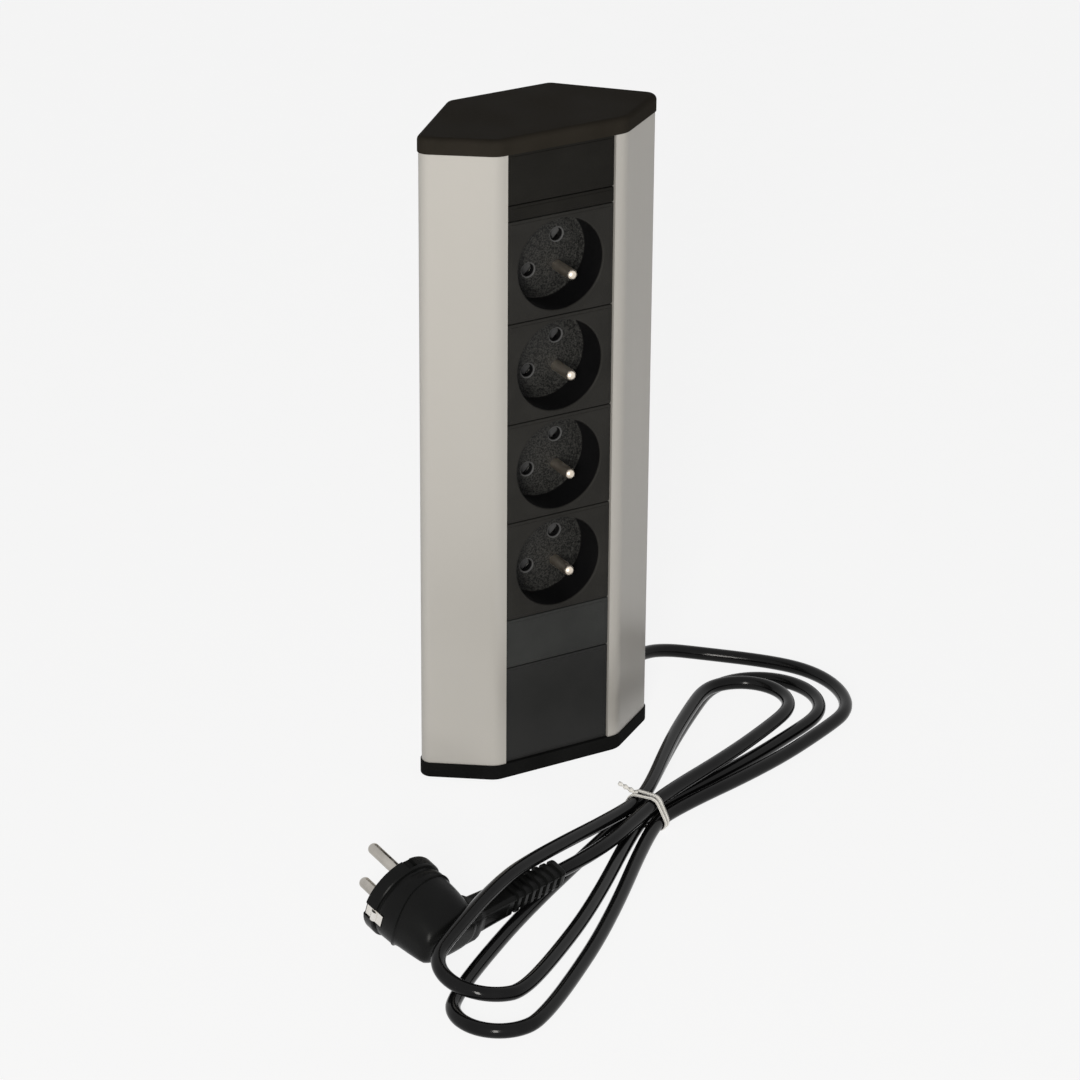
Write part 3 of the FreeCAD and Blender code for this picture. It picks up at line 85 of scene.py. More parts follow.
def add_camera():
    camera = bpy.data.cameras.new("camera")
    camera.sensor_width = SENSOR
    camera.lens = FOCAL_PIXELS / IMAGE_PIXELS * SENSOR
    camera.clip_end = CLIP_END
    holder = bpy.data.objects.new("camera", camera)
    bpy.context.scene.collection.objects.link(holder)
    turn = Matrix.Rotation(-CAMERA_YAW, 4, "Z") @ Matrix.Rotation(math.pi / 2 - CAMERA_PITCH, 4, "X")
    turn = turn @ Matrix.Rotation(CAMERA_ROLL, 4, "Z")
    holder.matrix_world = Matrix.Translation(metres(CAMERA_PLACE)) @ turn
    bpy.context.scene.camera = holder


# Materials: patterns have their scale per metre, and grain its depth in metres

def new_material(name, colour, roughness, metallic=0.0, **sockets):
    """A material with constant values on its shader; textures are added to it afterwards."""
    made = bpy.data.materials.new(name)
    made.use_nodes = True
    shader = made.node_tree.nodes["Principled BSDF"]
    shader.inputs["Base Color"].default_value = (*colour, 1.0)
    shader.inputs["Roughness"].default_value = roughness
    shader.inputs["Metallic"].default_value = metallic
    for socket, value in sockets.items():
        shader.inputs[socket.replace("_", " ")].default_value = value
    return made


def add_node(made, kind, **values):
    """A node of a material or the world, with values for its sockets and settings."""
    node = made.node_tree.nodes.new(kind)
    for name, value in values.items():
        if name in node.inputs:
            node.inputs[name].default_value = value
        else:
            setattr(node, name, value)
    return node


def wire(made, source, target):
    made.node_tree.links.new(source, target)


def pattern(made, scale, detail=3.0, stretch=(1.0, 1.0, 1.0)):
    """Noise in the object's own space, stretched where the real surface has a direction."""
    place = add_node(made, "ShaderNodeTexCoord")
    mapping = add_node(made, "ShaderNodeMapping")
    mapping.inputs["Scale"].default_value = stretch
    noise = add_node(made, "ShaderNodeTexNoise", Scale=scale, Detail=detail)
    wire(made, place.outputs["Object"], mapping.inputs["Vector"])
    wire(made, mapping.outputs["Vector"], noise.inputs["Vector"])
    return noise.outputs["Fac"]


# The part of a pattern's values that it mostly keeps to
NOISE_LOW = 0.35
NOISE_HIGH = 0.65


def spread(made, source, low, high, socket):
    """Map a pattern to a range of one shader value."""
    scaled = add_node(made, "ShaderNodeMapRange")
    scaled.inputs["From Min"].default_value = NOISE_LOW
    scaled.inputs["From Max"].default_value = NOISE_HIGH
    scaled.inputs["To Min"].default_value = low
    scaled.inputs["To Max"].default_value = high
    wire(made, source, scaled.inputs["Value"])
    wire(made, scaled.outputs["Result"], made.node_tree.nodes["Principled BSDF"].inputs[socket])


def tint(made, source, first, second, start=NOISE_LOW, end=NOISE_HIGH):
    """Let the base colour wander between two colours."""
    ramp = add_node(made, "ShaderNodeValToRGB")
    ramp.color_ramp.elements[0].position = start
    ramp.color_ramp.elements[0].color = (*first, 1.0)
    ramp.color_ramp.elements[1].position = end
    ramp.color_ramp.elements[1].color = (*second, 1.0)
    wire(made, source, ramp.inputs["Fac"])
    wire(made, ramp.outputs["Color"], made.node_tree.nodes["Principled BSDF"].inputs["Base Color"])


def emboss(made, sources, distance):
    """Bumps one after the other, each given by a pattern and a strength."""
    last = None
    for source, strength in sources:
        bump = add_node(made, "ShaderNodeBump", Strength=strength, Distance=distance)
        wire(made, source, bump.inputs["Height"])
        if last:
            wire(made, last.outputs["Normal"], bump.inputs["Normal"])
        last = bump
    wire(made, last.outputs["Normal"], made.node_tree.nodes["Principled BSDF"].inputs["Normal"])


PLASTIC_CLOUD = 35.0
PLASTIC_BUMP = 0.35
LESS_ROUGH = 0.05
MORE_ROUGH = 0.06


def moulded(name, dark, light, roughness, grain, depth, shine=0.3):
    """Moulded plastic with an eroded grain, faint clouds of colour and uneven gloss."""
    made = new_material(name, dark, roughness, Specular_IOR_Level=shine)
    fine = pattern(made, grain, 2.0)
    cloud = pattern(made, PLASTIC_CLOUD, 4.0)
    tint(made, cloud, dark, light)
    spread(made, cloud, roughness - LESS_ROUGH, roughness + MORE_ROUGH, "Roughness")
    emboss(made, [(fine, PLASTIC_BUMP)], depth)
    return made


def make_aluminium():
    """Satin anodised metal: fine drawing lines along its length, with a faint sparkle."""
    made = new_material("anodised_aluminium", (0.5, 0.48, 0.45), 0.36, 0.2, Anisotropic=0.5)
    lines = pattern(made, 900.0, 3.0, (1.0, 1.0, 0.012))
    sparkle = pattern(made, 2600.0, 2.0)
    cloud = pattern(made, 9.0, 3.0, (1.0, 1.0, 0.35))
    tint(made, cloud, (0.49, 0.475, 0.445), (0.515, 0.495, 0.46))
    spread(made, lines, 0.35, 0.39, "Roughness")
    emboss(made, [(lines, 0.05), (sparkle, 0.2)], 0.00003)
    return made


def make_floor_plastic():
    """The coarse, speckled floor of the wells."""
    made = new_material("well_floor_plastic", (0.03, 0.03, 0.031), 0.5, Specular_IOR_Level=0.2)
    coarse = pattern(made, 1650.0, 2.0)
    fine = pattern(made, 3200.0, 2.0)
    tint(made, coarse, (0.004, 0.004, 0.004), (0.046, 0.046, 0.043), 0.38, 0.64)
    spread(made, coarse, 0.38, 0.6, "Roughness")
    emboss(made, [(coarse, 0.9), (fine, 0.5)], 0.00025)
    return made


def make_metal(name, low, high, roughness, turned=False):
    """Plated or bare metal, with turning marks where asked."""
    made = new_material(name, low, roughness, 1.0)
    stretch = (1.0, 0.08, 1.0) if turned else (1.0, 1.0, 1.0)
    fine = pattern(made, 1500.0, 3.0, stretch)
    cloud = pattern(made, 120.0, 3.0)
    tint(made, cloud, low, high)
    spread(made, fine, roughness - 0.06, roughness + 0.08, "Roughness")
    emboss(made, [(fine, 0.15)], 0.00002)
    return made


def make_cord_plastic():
    """The cord's glossy sheath, which shows the cores in it as faint waves."""
    made = new_material("cord_plastic", (0.004, 0.004, 0.0043), 0.15, Specular_IOR_Level=0.13)
    waves = pattern(made, 90.0, 3.0)
    tint(made, waves, (0.004, 0.004, 0.0044), (0.007, 0.007, 0.0074))
    spread(made, waves, 0.11, 0.19, "Roughness")
    emboss(made, [(waves, 0.1)], 0.0001)
    return made


def make_paper():
    """The tie's white paper, a little soiled."""
    made = new_material("tie_paper", (0.83, 0.82, 0.78), 0.75)
    fibre = pattern(made, 900.0, 4.0)
    cloud = pattern(made, 160.0, 3.0)
    tint(made, cloud, (0.76, 0.745, 0.70), (0.88, 0.87, 0.84))
    emboss(made, [(fibre, 0.5)], 0.0002)
    return made


MATERIALS = {
    "aluminium": make_aluminium(),
    "cap": moulded(
        "cap_plastic", (0.0235, 0.0205, 0.0163), (0.03, 0.0262, 0.021),
        roughness=0.6, grain=1500.0, depth=0.0001, shine=0.01,
    ),
    "strip": moulded(
        "strip_plastic", (0.023, 0.0224, 0.0208), (0.032, 0.0312, 0.029),
        roughness=0.48, grain=1100.0, depth=0.00026, shine=0.05,
    ),
    # Spacer and top plates: a darker copy of the strip plastic, painted shade under the cap
    "upper": moulded(
        "upper_plate_painted_shade", (0.013, 0.0124, 0.011), (0.0175, 0.0168, 0.015),
        roughness=0.48, grain=1100.0, depth=0.00022, shine=0.04,
    ),
    # Lower plate: a lighter copy of the strip plastic, painted light
    "lower": moulded(
        "lower_plate_painted_light", (0.036, 0.0375, 0.037), (0.046, 0.0478, 0.047),
        roughness=0.48, grain=1100.0, depth=0.00022, shine=0.06,
    ),
    "cover": moulded(
        "cover_plastic", (0.022, 0.0224, 0.0222), (0.026, 0.0264, 0.0262),
        roughness=0.42, grain=2400.0, depth=0.00005, shine=0.12,
    ),
    # Well walls and hole bores: the moulding's black plastic darkened further, painted shade in the
    # recess; the gloss is its own
    "well": moulded(
        "well_wall_painted_shade", (0.005, 0.005, 0.0055), (0.008, 0.008, 0.0085),
        roughness=0.42, grain=1200.0, depth=0.00006, shine=0.08,
    ),
    # Pin hole chamfers: lighter than the plastic round them, a painted highlight; their gloss is their own
    "rim": moulded(
        "hole_rim_painted_highlight", (0.05, 0.05, 0.05), (0.07, 0.07, 0.07),
        roughness=0.3, grain=1500.0, depth=0.00003, shine=0.6,
    ),
    "relief": moulded(
        "relief_plastic", (0.006, 0.006, 0.0065), (0.01, 0.01, 0.0105),
        roughness=0.35, grain=1400.0, depth=0.00006, shine=0.2,
    ),
    "floor": make_floor_plastic(),
    "shutter": moulded(
        "shutter_plastic", (0.06, 0.061, 0.062), (0.085, 0.086, 0.087),
        roughness=0.45, grain=1400.0, depth=0.00005, shine=0.15,
    ),
    "nickel": make_metal(
        "nickel_plate", (0.66, 0.63, 0.58), (0.78, 0.76, 0.72),
        roughness=0.2, turned=True,
    ),
    # Plug pins: the plated metal darkened below its real colour, a painted dark reflection
    "plug_pin": make_metal(
        "plug_pin_painted_dark_reflection", (0.36, 0.34, 0.31), (0.48, 0.455, 0.415),
        roughness=0.18, turned=True,
    ),
    "pin": make_metal(
        "earth_pin_plate", (0.7, 0.62, 0.52), (0.8, 0.73, 0.64),
        roughness=0.36, turned=True,
    ),
    "foot": moulded(
        "foot_plastic", (0.0085, 0.0087, 0.0086), (0.0125, 0.0127, 0.0126),
        roughness=0.6, grain=1500.0, depth=0.0001, shine=0.01,
    ),
    "brass": make_metal(
        "brass_strip", (0.72, 0.55, 0.25), (0.8, 0.64, 0.34),
        roughness=0.3,
    ),
    "steel": make_metal(
        "zinc_plated_steel", (0.52, 0.53, 0.55), (0.66, 0.67, 0.69),
        roughness=0.32,
    ),
    "carrier": moulded(
        "carrier_plastic", (0.72, 0.72, 0.69), (0.8, 0.8, 0.77),
        roughness=0.45, grain=1200.0, depth=0.00006,
    ),
    "cord": make_cord_plastic(),
    "tie": make_paper(),
    "plug": moulded(
        "plug_plastic", (0.006, 0.0062, 0.0062), (0.0095, 0.0098, 0.0098),
        roughness=0.3, grain=1300.0, depth=0.00006, shine=0.07,
    ),
    "brown": moulded(
        "brown_sheath", (0.16, 0.07, 0.035), (0.2, 0.09, 0.045),
        roughness=0.35, grain=900.0, depth=0.00003,
    ),
    "blue": moulded(
        "blue_sheath", (0.05, 0.14, 0.42), (0.07, 0.18, 0.5),
        roughness=0.35, grain=900.0, depth=0.00003,
    ),
    "green": moulded(
        "green_yellow_sheath", (0.2, 0.42, 0.06), (0.75, 0.7, 0.08),
        roughness=0.35, grain=900.0, depth=0.00003,
    ),
}
NODE_MATERIALS = {
    "body_profile": "aluminium",
    "top_cap": "cap",
    "bottom_cap": "foot",
    "bottom_cap_screws": "steel",
    "carrier_screws": "steel",
    "cord_clamp_screws": "steel",
    "earth_bond_screw": "steel",
    "contact_carrier": "carrier",
    "cord_clamp": "carrier",
    "live_busbar": "brass",
    "neutral_busbar": "brass",
    "earth_busbar": "brass",
    "cord_grommet": "cap",
    "cord_sheath_end": "cord",
    "cord_lead": "cord",
    "cord_hank": "cord",
    "cord_tie": "tie",
    "live_wire": "brown",
    "neutral_wire": "blue",
    "earth_wire": "green",
    "plug_bridge": "cap",
    "plug_live_pin": "plug_pin",
    "plug_neutral_pin": "plug_pin",
    "plug_earth_clips": "nickel",
    "plug_body": "plug",
}
STARTS = {"earth_pin": "pin", "shutter_spring": "steel", "shutter_": "shutter", "socket_insert": "strip"}


def dress_nodes():
    """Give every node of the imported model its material, by its name or by how its name starts."""
    for name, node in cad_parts.items():
        chosen = NODE_MATERIALS.get(name)
        if chosen is None:
            chosen = next((m for start, m in STARTS.items() if name.startswith(start)), "strip")
        node.data.materials.clear()
        node.data.materials.append(MATERIALS[chosen])


# Cord: one spline from the housing to the plug, through the tied hank

# Where the tie is, and the heading of the hank through it
WAIST = Vector((5.0, -92.0, 0.0))
HEADING = math.radians(32.0)
# Loops: their middle along the hank and across it, their radius, and the turn of their ends in degrees
RIGHT_LOOPS = [(117.0, 7.0, 42.0, -8.0), (118.0, 3.0, 26.0, 8.0), (104.0, 5.0, 20.0, 6.0)]
LEFT_LOOPS = [(-162.0, -19.0, 18.0, 8.0), (-154.0, -8.0, 18.0, 4.0)]
# Where the cord goes over the plug: along the hank, across it, and height
CROSSING = [(-112.0, 11.0, 23.4), (-84.0, 9.5, 22.6)]
# How far the loop before it rises, and the turn at which the lead meets the first loop
TURN_RISE = 8.5
FIRST_TURN = -75.0
# Height of the cord's middle on the floor, the distance from strand to strand, and heights at the tie
LOW = 3.2
LAYER = 6.8
WAIST_LOW = 4.4
WAIST_HIGH = WAIST_LOW + LAYER
WAIST_HALF = 9.0
# Degrees from point to point round a loop
LOOP_STEP = 30.0
# A run bows by this much at shares of its length, and each loop's arc stops short by the ease
BOW = 5.0
RUN_SHAPE = [(0.16, 0.62), (0.5, 1.0)]
EASE = 14.0
# Where the cord leaves the housing, and its way down to the floor and the first loop
OUTLET = Vector((46.5, 4.0, 10.8))
LEAD_POINTS = [
    (69.5, 27.0, 10.8),
    (80.4, 31.6, 9.8),
    (91.9, 32.2, 7.4),
    (103.6, 28.6, 4.8),
]
# The middle of the plug's face, the ways of its pins and arm, and the cord's end in the arm
PLUG_PLACE = Vector((-128.0, -120.0, 19.3))
PLUG_HEADING = math.radians(105.0)
PLUG_TILT = math.radians(17.8)
ARM_RISE = math.radians(0.8)
ARM_LENGTH = 66.0
ARM_DEPTH = 26.0
# The tube's fineness: steps round it and along it
ROUND_STEPS = 6
LENGTH_STEPS = 12


def plug_frame():
    """The plug's own axes: its arm, across it, and the way its pins point."""
    pins = Vector((
        math.cos(PLUG_HEADING) * math.cos(PLUG_TILT),
        math.sin(PLUG_HEADING) * math.cos(PLUG_TILT),
        math.sin(PLUG_TILT),
    ))
    side = PLUG_HEADING - math.pi / 2
    arm = Vector((
        math.cos(side) * math.cos(ARM_RISE),
        math.sin(side) * math.cos(ARM_RISE),
        math.sin(ARM_RISE),
    ))
    arm = (arm - pins * arm.dot(pins)).normalized()
    return arm, pins.cross(arm), pins


def hank_point(along, across, height):
    """A place from the tie, along the hank and across it."""
    first = Vector((math.cos(HEADING), math.sin(HEADING), 0.0))
    second = Vector((-math.sin(HEADING), math.cos(HEADING), 0.0))
    return WAIST + first * along + second * across + Vector((0.0, 0.0, height))


def loop_points(loop, start, end, low, high=None):
    """Points round the end of one loop, between two directions of the cord, in degrees."""
    along, across, radius, _ = loop
    high = low if high is None else high
    steps = math.ceil(abs(end - start) / LOOP_STEP)
    turn = math.radians(end - start) / steps
    reach = radius / math.cos(turn / 2)
    found = []
    for step in range(steps + 1):
        share = step / steps
        angle = math.radians(start + 90.0) + turn * step
        height = low + (high - low) * share
        place = (along + reach * math.cos(angle), across + reach * math.sin(angle), height)
        found.append(hank_point(*place))
    return found


def waist_points(way, across, height):
    """Two points that lead the cord straight through the tie."""
    return [hank_point(-way * WAIST_HALF, across, height), hank_point(way * WAIST_HALF, across, height)]


def run_points(start, end, outward, from_loop):
    """Two points of the run between a loop and the tie, pushed sideways as a springy cord bows."""
    across = Vector((start.y - end.y, end.x - start.x, 0.0)).normalized()
    loop, tie = (start, end) if from_loop else (end, start)
    found = [loop.lerp(tie, share) + across * outward * part for share, part in RUN_SHAPE]
    if max(start.z, end.z) < LAYER:
        for point in found:
            point.z = LOW
    return found if from_loop else found[::-1]


def cord_route():
    """The control points of the cord, from the housing through the hank to the plug."""
    right_1, right_2, right_3 = RIGHT_LOOPS
    left_1, left_2 = LEFT_LOOPS
    arm, _, pins = plug_frame()
    tip = PLUG_PLACE + arm * ARM_LENGTH - pins * ARM_DEPTH
    route = [OUTLET] + [Vector(p) for p in LEAD_POINTS]
    route += loop_points(right_1, FIRST_TURN, EASE - 180 - right_1[3], LOW)
    top = LOW + LAYER + TURN_RISE
    stages = [
        (waist_points(-1, -LAYER, WAIST_LOW), BOW),
        (loop_points(left_1, left_1[3] - 180 - EASE, left_1[3] / 2 - 360 + EASE, LOW), BOW),
        (waist_points(1, LAYER, WAIST_LOW), BOW),
        (loop_points(right_2, right_2[3] - EASE, EASE - 180 - right_2[3], LOW), BOW / 2),
        (waist_points(-1, 0.0, WAIST_LOW), BOW / 2),
        (loop_points(left_2, left_2[3] - 180 - EASE, -360 - left_2[3], LOW + LAYER, top), BOW),
    ]
    for number, (points, outward) in enumerate(stages):
        route += run_points(route[-1], points[0], outward, number % 2 == 0)
        route += points
    route += [hank_point(*place) for place in CROSSING]
    route += waist_points(1, LAYER / 2, WAIST_HIGH)
    last_loop = loop_points(right_3, right_3[3] - EASE, EASE - 180 - right_3[3], LOW + LAYER)
    route += run_points(route[-1], last_loop[0], BOW / 2, False) + last_loop
    last_waist = waist_points(-1, -LAYER / 2, WAIST_HIGH)
    route += run_points(route[-1], last_waist[0], BOW / 2, True) + last_waist
    route += [tip + arm * 4 * CORD_DIAMETER, tip - arm * CORD_DIAMETER / 2]
    return route


def make_cord():
    """One round tube along a smooth spline, in place of the cord's solids."""
    route = cord_route()
    curve = bpy.data.curves.new("mains_cord", "CURVE")
    curve.dimensions = "3D"
    curve.bevel_depth = CORD_DIAMETER / 2 * MM
    curve.bevel_resolution = ROUND_STEPS
    curve.resolution_u = LENGTH_STEPS
    curve.use_fill_caps = True
    spline = curve.splines.new("NURBS")
    spline.points.add(len(route) - 1)
    for point, place in zip(spline.points, route):
        point.co = (*metres(place), 1.0)
    spline.order_u = 3
    spline.use_endpoint_u = True
    cord = bpy.data.objects.new("mains_cord", curve)
    bpy.context.scene.collection.objects.link(cord)
    cord.data.materials.append(MATERIALS["cord"])
    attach(cord, ROOT)
    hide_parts("cord_lead", "cord_hank", "cord_sheath_end")
    return cord


# Mesh kit

WELD = 0.002
X_WAY = Vector((1.0, 0.0, 0.0))
Y_WAY = Vector((0.0, 1.0, 0.0))
Z_WAY = Vector((0.0, 0.0, 1.0))


class Shell:
    """A mesh in the making: points in millimetres and faces with the number of their finish."""

    def __init__(self):
        self.points = []
        self.faces = []
        self.finishes = []

    def lay(self, ring):
        """Add a ring of points, or pass on one that is there already."""
        if isinstance(ring[0], int):
            return ring
        start = len(self.points)
        self.points.extend(ring)
        return list(range(start, len(self.points)))

    def face(self, corners, finish=0):
        self.faces.append(corners)
        self.finishes.append(finish)

    def skin(self, rings, finish=0, closed=False):
        """Bands of faces between rings; gives the first and the last ring."""
        laid = [self.lay(ring) for ring in rings]
        pairs = list(zip(laid, laid[1:]))
        if closed:
            pairs.append((laid[-1], laid[0]))
        for first, second in pairs:
            for i, corner in enumerate(first):
                j = (i + 1) % len(first)
                self.face([corner, first[j], second[j], second[i]], finish)
        return laid[0], laid[-1]

    def fill(self, loops, finish=0):
        """Flat faces inside the first loop and outside the others."""
        laid = [self.lay(loop) for loop in loops]
        corners = [index for loop in laid for index in loop]
        places = [[self.points[index] for index in loop] for loop in laid]
        for triangle in tessellate_polygon(places):
            self.face([corners[k] for k in triangle], finish)

    def solid(self, rings, finish=0):
        """A closed piece between two flat ends."""
        first, last = self.skin(rings, finish)
        self.fill([first], finish)
        self.fill([last], finish)

    def build(self, name, finishes, replaced, place=None, sharp=40.0):
        """Make the piece, with even shading, and put it in the place of the nodes that it replaces."""
        mesh = bpy.data.meshes.new(name)
        placed = [place @ p for p in self.points] if place else self.points
        mesh.from_pydata([metres(p) for p in placed], [], self.faces)
        for finish in finishes:
            mesh.materials.append(MATERIALS[finish])
        mesh.polygons.foreach_set("material_index", self.finishes)
        work = bmesh.new()
        work.from_mesh(mesh)
        bmesh.ops.remove_doubles(work, verts=work.verts, dist=WELD * MM)
        bmesh.ops.dissolve_degenerate(work, edges=work.edges, dist=WELD * MM)
        bmesh.ops.recalc_face_normals(work, faces=work.faces)
        work.to_mesh(mesh)
        work.free()
        mesh.shade_smooth()
        mesh.set_sharp_from_angle(angle=math.radians(sharp))
        piece = bpy.data.objects.new(name, mesh)
        bpy.context.scene.collection.objects.link(piece)
        level = piece.modifiers.new("even_normals", "WEIGHTED_NORMAL")
        level.keep_sharp = True
        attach(piece, ROOT)
        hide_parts(*replaced)
        return piece


def circle(centre, first, second, radius, count):
    """A ring of points round a centre, in the plane of two directions."""
    turns = [math.tau * step / count for step in range(count)]
    return [centre + first * (radius * math.cos(t)) + second * (radius * math.sin(t)) for t in turns]


def quarter_turns(steps):
    """The corners of a rounded rectangle: their sides, and the turns of the arc round each."""
    found = []
    for side_x, side_y, start in ((1, 1, 0.0), (-1, 1, 90.0), (-1, -1, 180.0), (1, -1, 270.0)):
        turns = [math.radians(start + 90.0 * step / steps) for step in range(steps + 1)]
        found.append((side_x, side_y, turns))
    return found


# Front strip: plates with bevelled edges, a raised field and snap hooks on their skirts

EDGE_BEVEL = 0.35
BEVEL_BULGE = 0.3
RIM_CORNER = 0.5
FIELD_CORNER = 0.6
FIELD_BORDER = 2.4
FIELD_RISE = 0.3
# The slope up to the field: distance in, and distance behind the field
FIELD_SLOPE = [(0.0, FIELD_RISE), (0.12, 0.08), (0.3, 0.0)]
CORNER_STEPS = 3
SKIRT_WALL = 1.5
HOOK_FRONT = -13.7
HOOK_DEPTH = 1.5
HOOK_REACH = 1.3
SINK = 0.1


def plate_ring(inset, low, high, y, radius):
    """A rectangle with round corners in a plane of the strip."""
    half = PLATE_HALF - inset
    middle, rise = (low + high) / 2, (high - low) / 2 - inset
    found = []
    for side_x, side_z, turns in quarter_turns(CORNER_STEPS):
        for turn in turns:
            x = side_x * (half - radius) + radius * math.cos(turn)
            z = middle + side_z * (rise - radius) + radius * math.sin(turn)
            found.append(Vector((x, y, z)))
    return found


def lay_plate(shell, low, high):
    """The rim of a plate and its skirts; gives the ring at its back and the edge of its field."""
    border = PLATE_FRONT + FIELD_RISE
    bulge = EDGE_BEVEL * BEVEL_BULGE
    rings = [
        plate_ring(0.0, low, high, PLATE_BACK, RIM_CORNER),
        plate_ring(0.0, low, high, border + EDGE_BEVEL, RIM_CORNER),
        plate_ring(bulge, low, high, border + bulge, RIM_CORNER),
        plate_ring(EDGE_BEVEL, low, high, border, RIM_CORNER),
    ]
    for inset, depth in FIELD_SLOPE:
        rings.append(plate_ring(FIELD_BORDER / 2 + inset, low, high, PLATE_FRONT + depth, FIELD_CORNER))
    back, field = shell.skin(rings)
    for side in (-1, 1):
        outline = [
            (PLATE_HALF - SKIRT_WALL, PLATE_BACK - SINK),
            (PLATE_HALF, PLATE_BACK - SINK),
            (PLATE_HALF, HOOK_FRONT),
            (PLATE_HALF + HOOK_REACH, HOOK_FRONT),
            (PLATE_HALF + HOOK_REACH, HOOK_FRONT + HOOK_DEPTH / 2),
            (PLATE_HALF, HOOK_FRONT + HOOK_DEPTH),
            (PLATE_HALF - SKIRT_WALL, HOOK_FRONT + HOOK_DEPTH),
        ]
        shell.solid([[Vector((side * x, y, z)) for x, y in outline] for z in (low, high)])
    return back, field


def make_blank(name, low, high, finish):
    """A plain plate of the strip."""
    shell = Shell()
    back, field = lay_plate(shell, low + PLATE_GAP / 2, high - PLATE_GAP / 2)
    shell.fill([back])
    shell.fill([field])
    return shell.build(name + "_plate", [finish], [name])


# Sockets: plates with a round well, its rough floor, bevelled pin holes and the shutter's post

SOCKET_FINISHES = ["strip", "well", "floor", "rim"]
WALL_SHADE_FINISH = SOCKET_FINISHES.index("well")
FLOOR_FINISH = SOCKET_FINISHES.index("floor")
RIM_HIGHLIGHT_FINISH = SOCKET_FINISHES.index("rim")
WELL_SIDES = 96
HOLE_SIDES = 40
WELL_WALL = 1.6
MOUTH_ROUND = 0.8
MOUTH_STEPS = 4
LAND_OUTER = 17.6
LAND_INNER = 16.4
LAND_RISE = 0.25
# Rings at the foot of the well: radius, and distance in front of the floor
WALL_FOOT = (WELL_RADIUS - 0.15, 0.5)
FLOOR_PROFILE = [
    (WELL_RADIUS - 0.3, 0.12),
    (WELL_RADIUS - 0.8, 0.0),
    (LAND_OUTER + 0.2, 0.0),
    (LAND_OUTER, LAND_RISE),
    (LAND_INNER, LAND_RISE),
    (LAND_INNER - 0.2, 0.0),
]
HOLE_CHAMFER = 0.6
TAIL_CHAMFER = 0.1
# The holes in the floor: place, radius and chamfer
HOLES = [
    (PIN_PLACE, PIN_PLACE, PIN_HOLE_RADIUS, HOLE_CHAMFER),
    (-PIN_PLACE, -PIN_PLACE, PIN_HOLE_RADIUS, HOLE_CHAMFER),
    (EARTH_PLACE, -EARTH_PLACE, EARTH_TAIL_RADIUS, TAIL_CHAMFER),
]
POST_RADIUS = 2.0
POST_LENGTH = 5.9
STOP_RADIUS = 1.2
STOP_DISTANCE = 11.0
STOP_HEIGHT = 2.5
STOP_AWAY = 4.8
STUD_ROUND = 0.2
SHUTTER_START = 45.0
SHUTTER_TRAVEL = 42.0


def socket_ring(centre, radius, y, x=0.0, z=0.0, count=WELL_SIDES):
    """A circle in a plane of the strip, at a place from the middle of a socket."""
    return circle(Vector((x, y, centre + z)), X_WAY, Z_WAY, radius, count)


def add_well(shell, centre, field):
    """The well's round mouth, its wall and the smooth land of its floor; gives the last ring."""
    mouth = []
    for step in range(MOUTH_STEPS + 1):
        turn = math.radians(90.0 * step / MOUTH_STEPS)
        radius = WELL_RADIUS + MOUTH_ROUND * (1.0 - math.sin(turn))
        mouth.append(socket_ring(centre, radius, PLATE_FRONT + MOUTH_ROUND * (1.0 - math.cos(turn))))
    mouth_edge, wall_top = shell.skin(mouth)
    shell.fill([field, mouth_edge])
    radius, rise = WALL_FOOT
    # The wall takes the darkened finish: painted shade
    _, wall_foot = shell.skin([wall_top, socket_ring(centre, radius, FLOOR_FRONT - rise)], WALL_SHADE_FINISH)
    floor = [socket_ring(centre, radius, FLOOR_FRONT - rise) for radius, rise in FLOOR_PROFILE]
    _, inner = shell.skin([wall_foot] + floor, FLOOR_FINISH)
    return inner


def add_floor(shell, centre, inner):
    """The floor round its holes, and the holes; gives their rings at the floor's back."""
    fronts, backs = [], []
    for x, z, radius, chamfer in HOLES:
        profile = [(radius + chamfer, 0.0), (radius + chamfer * 0.25, chamfer * 0.35), (radius, chamfer)]
        rim = [socket_ring(centre, size, FLOOR_FRONT + depth, x, z, HOLE_SIDES) for size, depth in profile]
        # The chamfers take the lighter finish: painted highlight
        edge, throat = shell.skin(rim, RIM_HIGHLIGHT_FINISH)
        bore_end = socket_ring(centre, radius, FLOOR_BACK, x, z, HOLE_SIDES)
        # The bores take the darkened finish of the wall: painted shade
        _, foot = shell.skin([throat, bore_end], WALL_SHADE_FINISH)
        fronts.append(edge)
        backs.append(foot)
    shell.fill([inner] + fronts, FLOOR_FINISH)
    return backs


def add_studs(shell, centre):
    """The post that the shutter turns on, and the stops at both ends of its travel."""
    studs = [(0.0, 0.0, POST_RADIUS, POST_LENGTH)]
    for angle, side in ((SHUTTER_START, -1), (SHUTTER_START + SHUTTER_TRAVEL, 1)):
        turn = math.radians(angle)
        x = STOP_DISTANCE * math.cos(turn) - side * STOP_AWAY * math.sin(turn)
        z = STOP_DISTANCE * math.sin(turn) + side * STOP_AWAY * math.cos(turn)
        studs.append((x, z, STOP_RADIUS, STOP_HEIGHT))
    for x, z, radius, length in studs:
        end = FLOOR_BACK + length
        profile = [(radius, FLOOR_BACK - SINK), (radius, end - STUD_ROUND), (radius - STUD_ROUND, end)]
        shell.solid([socket_ring(centre, size, y, x, z, HOLE_SIDES) for size, y in profile])


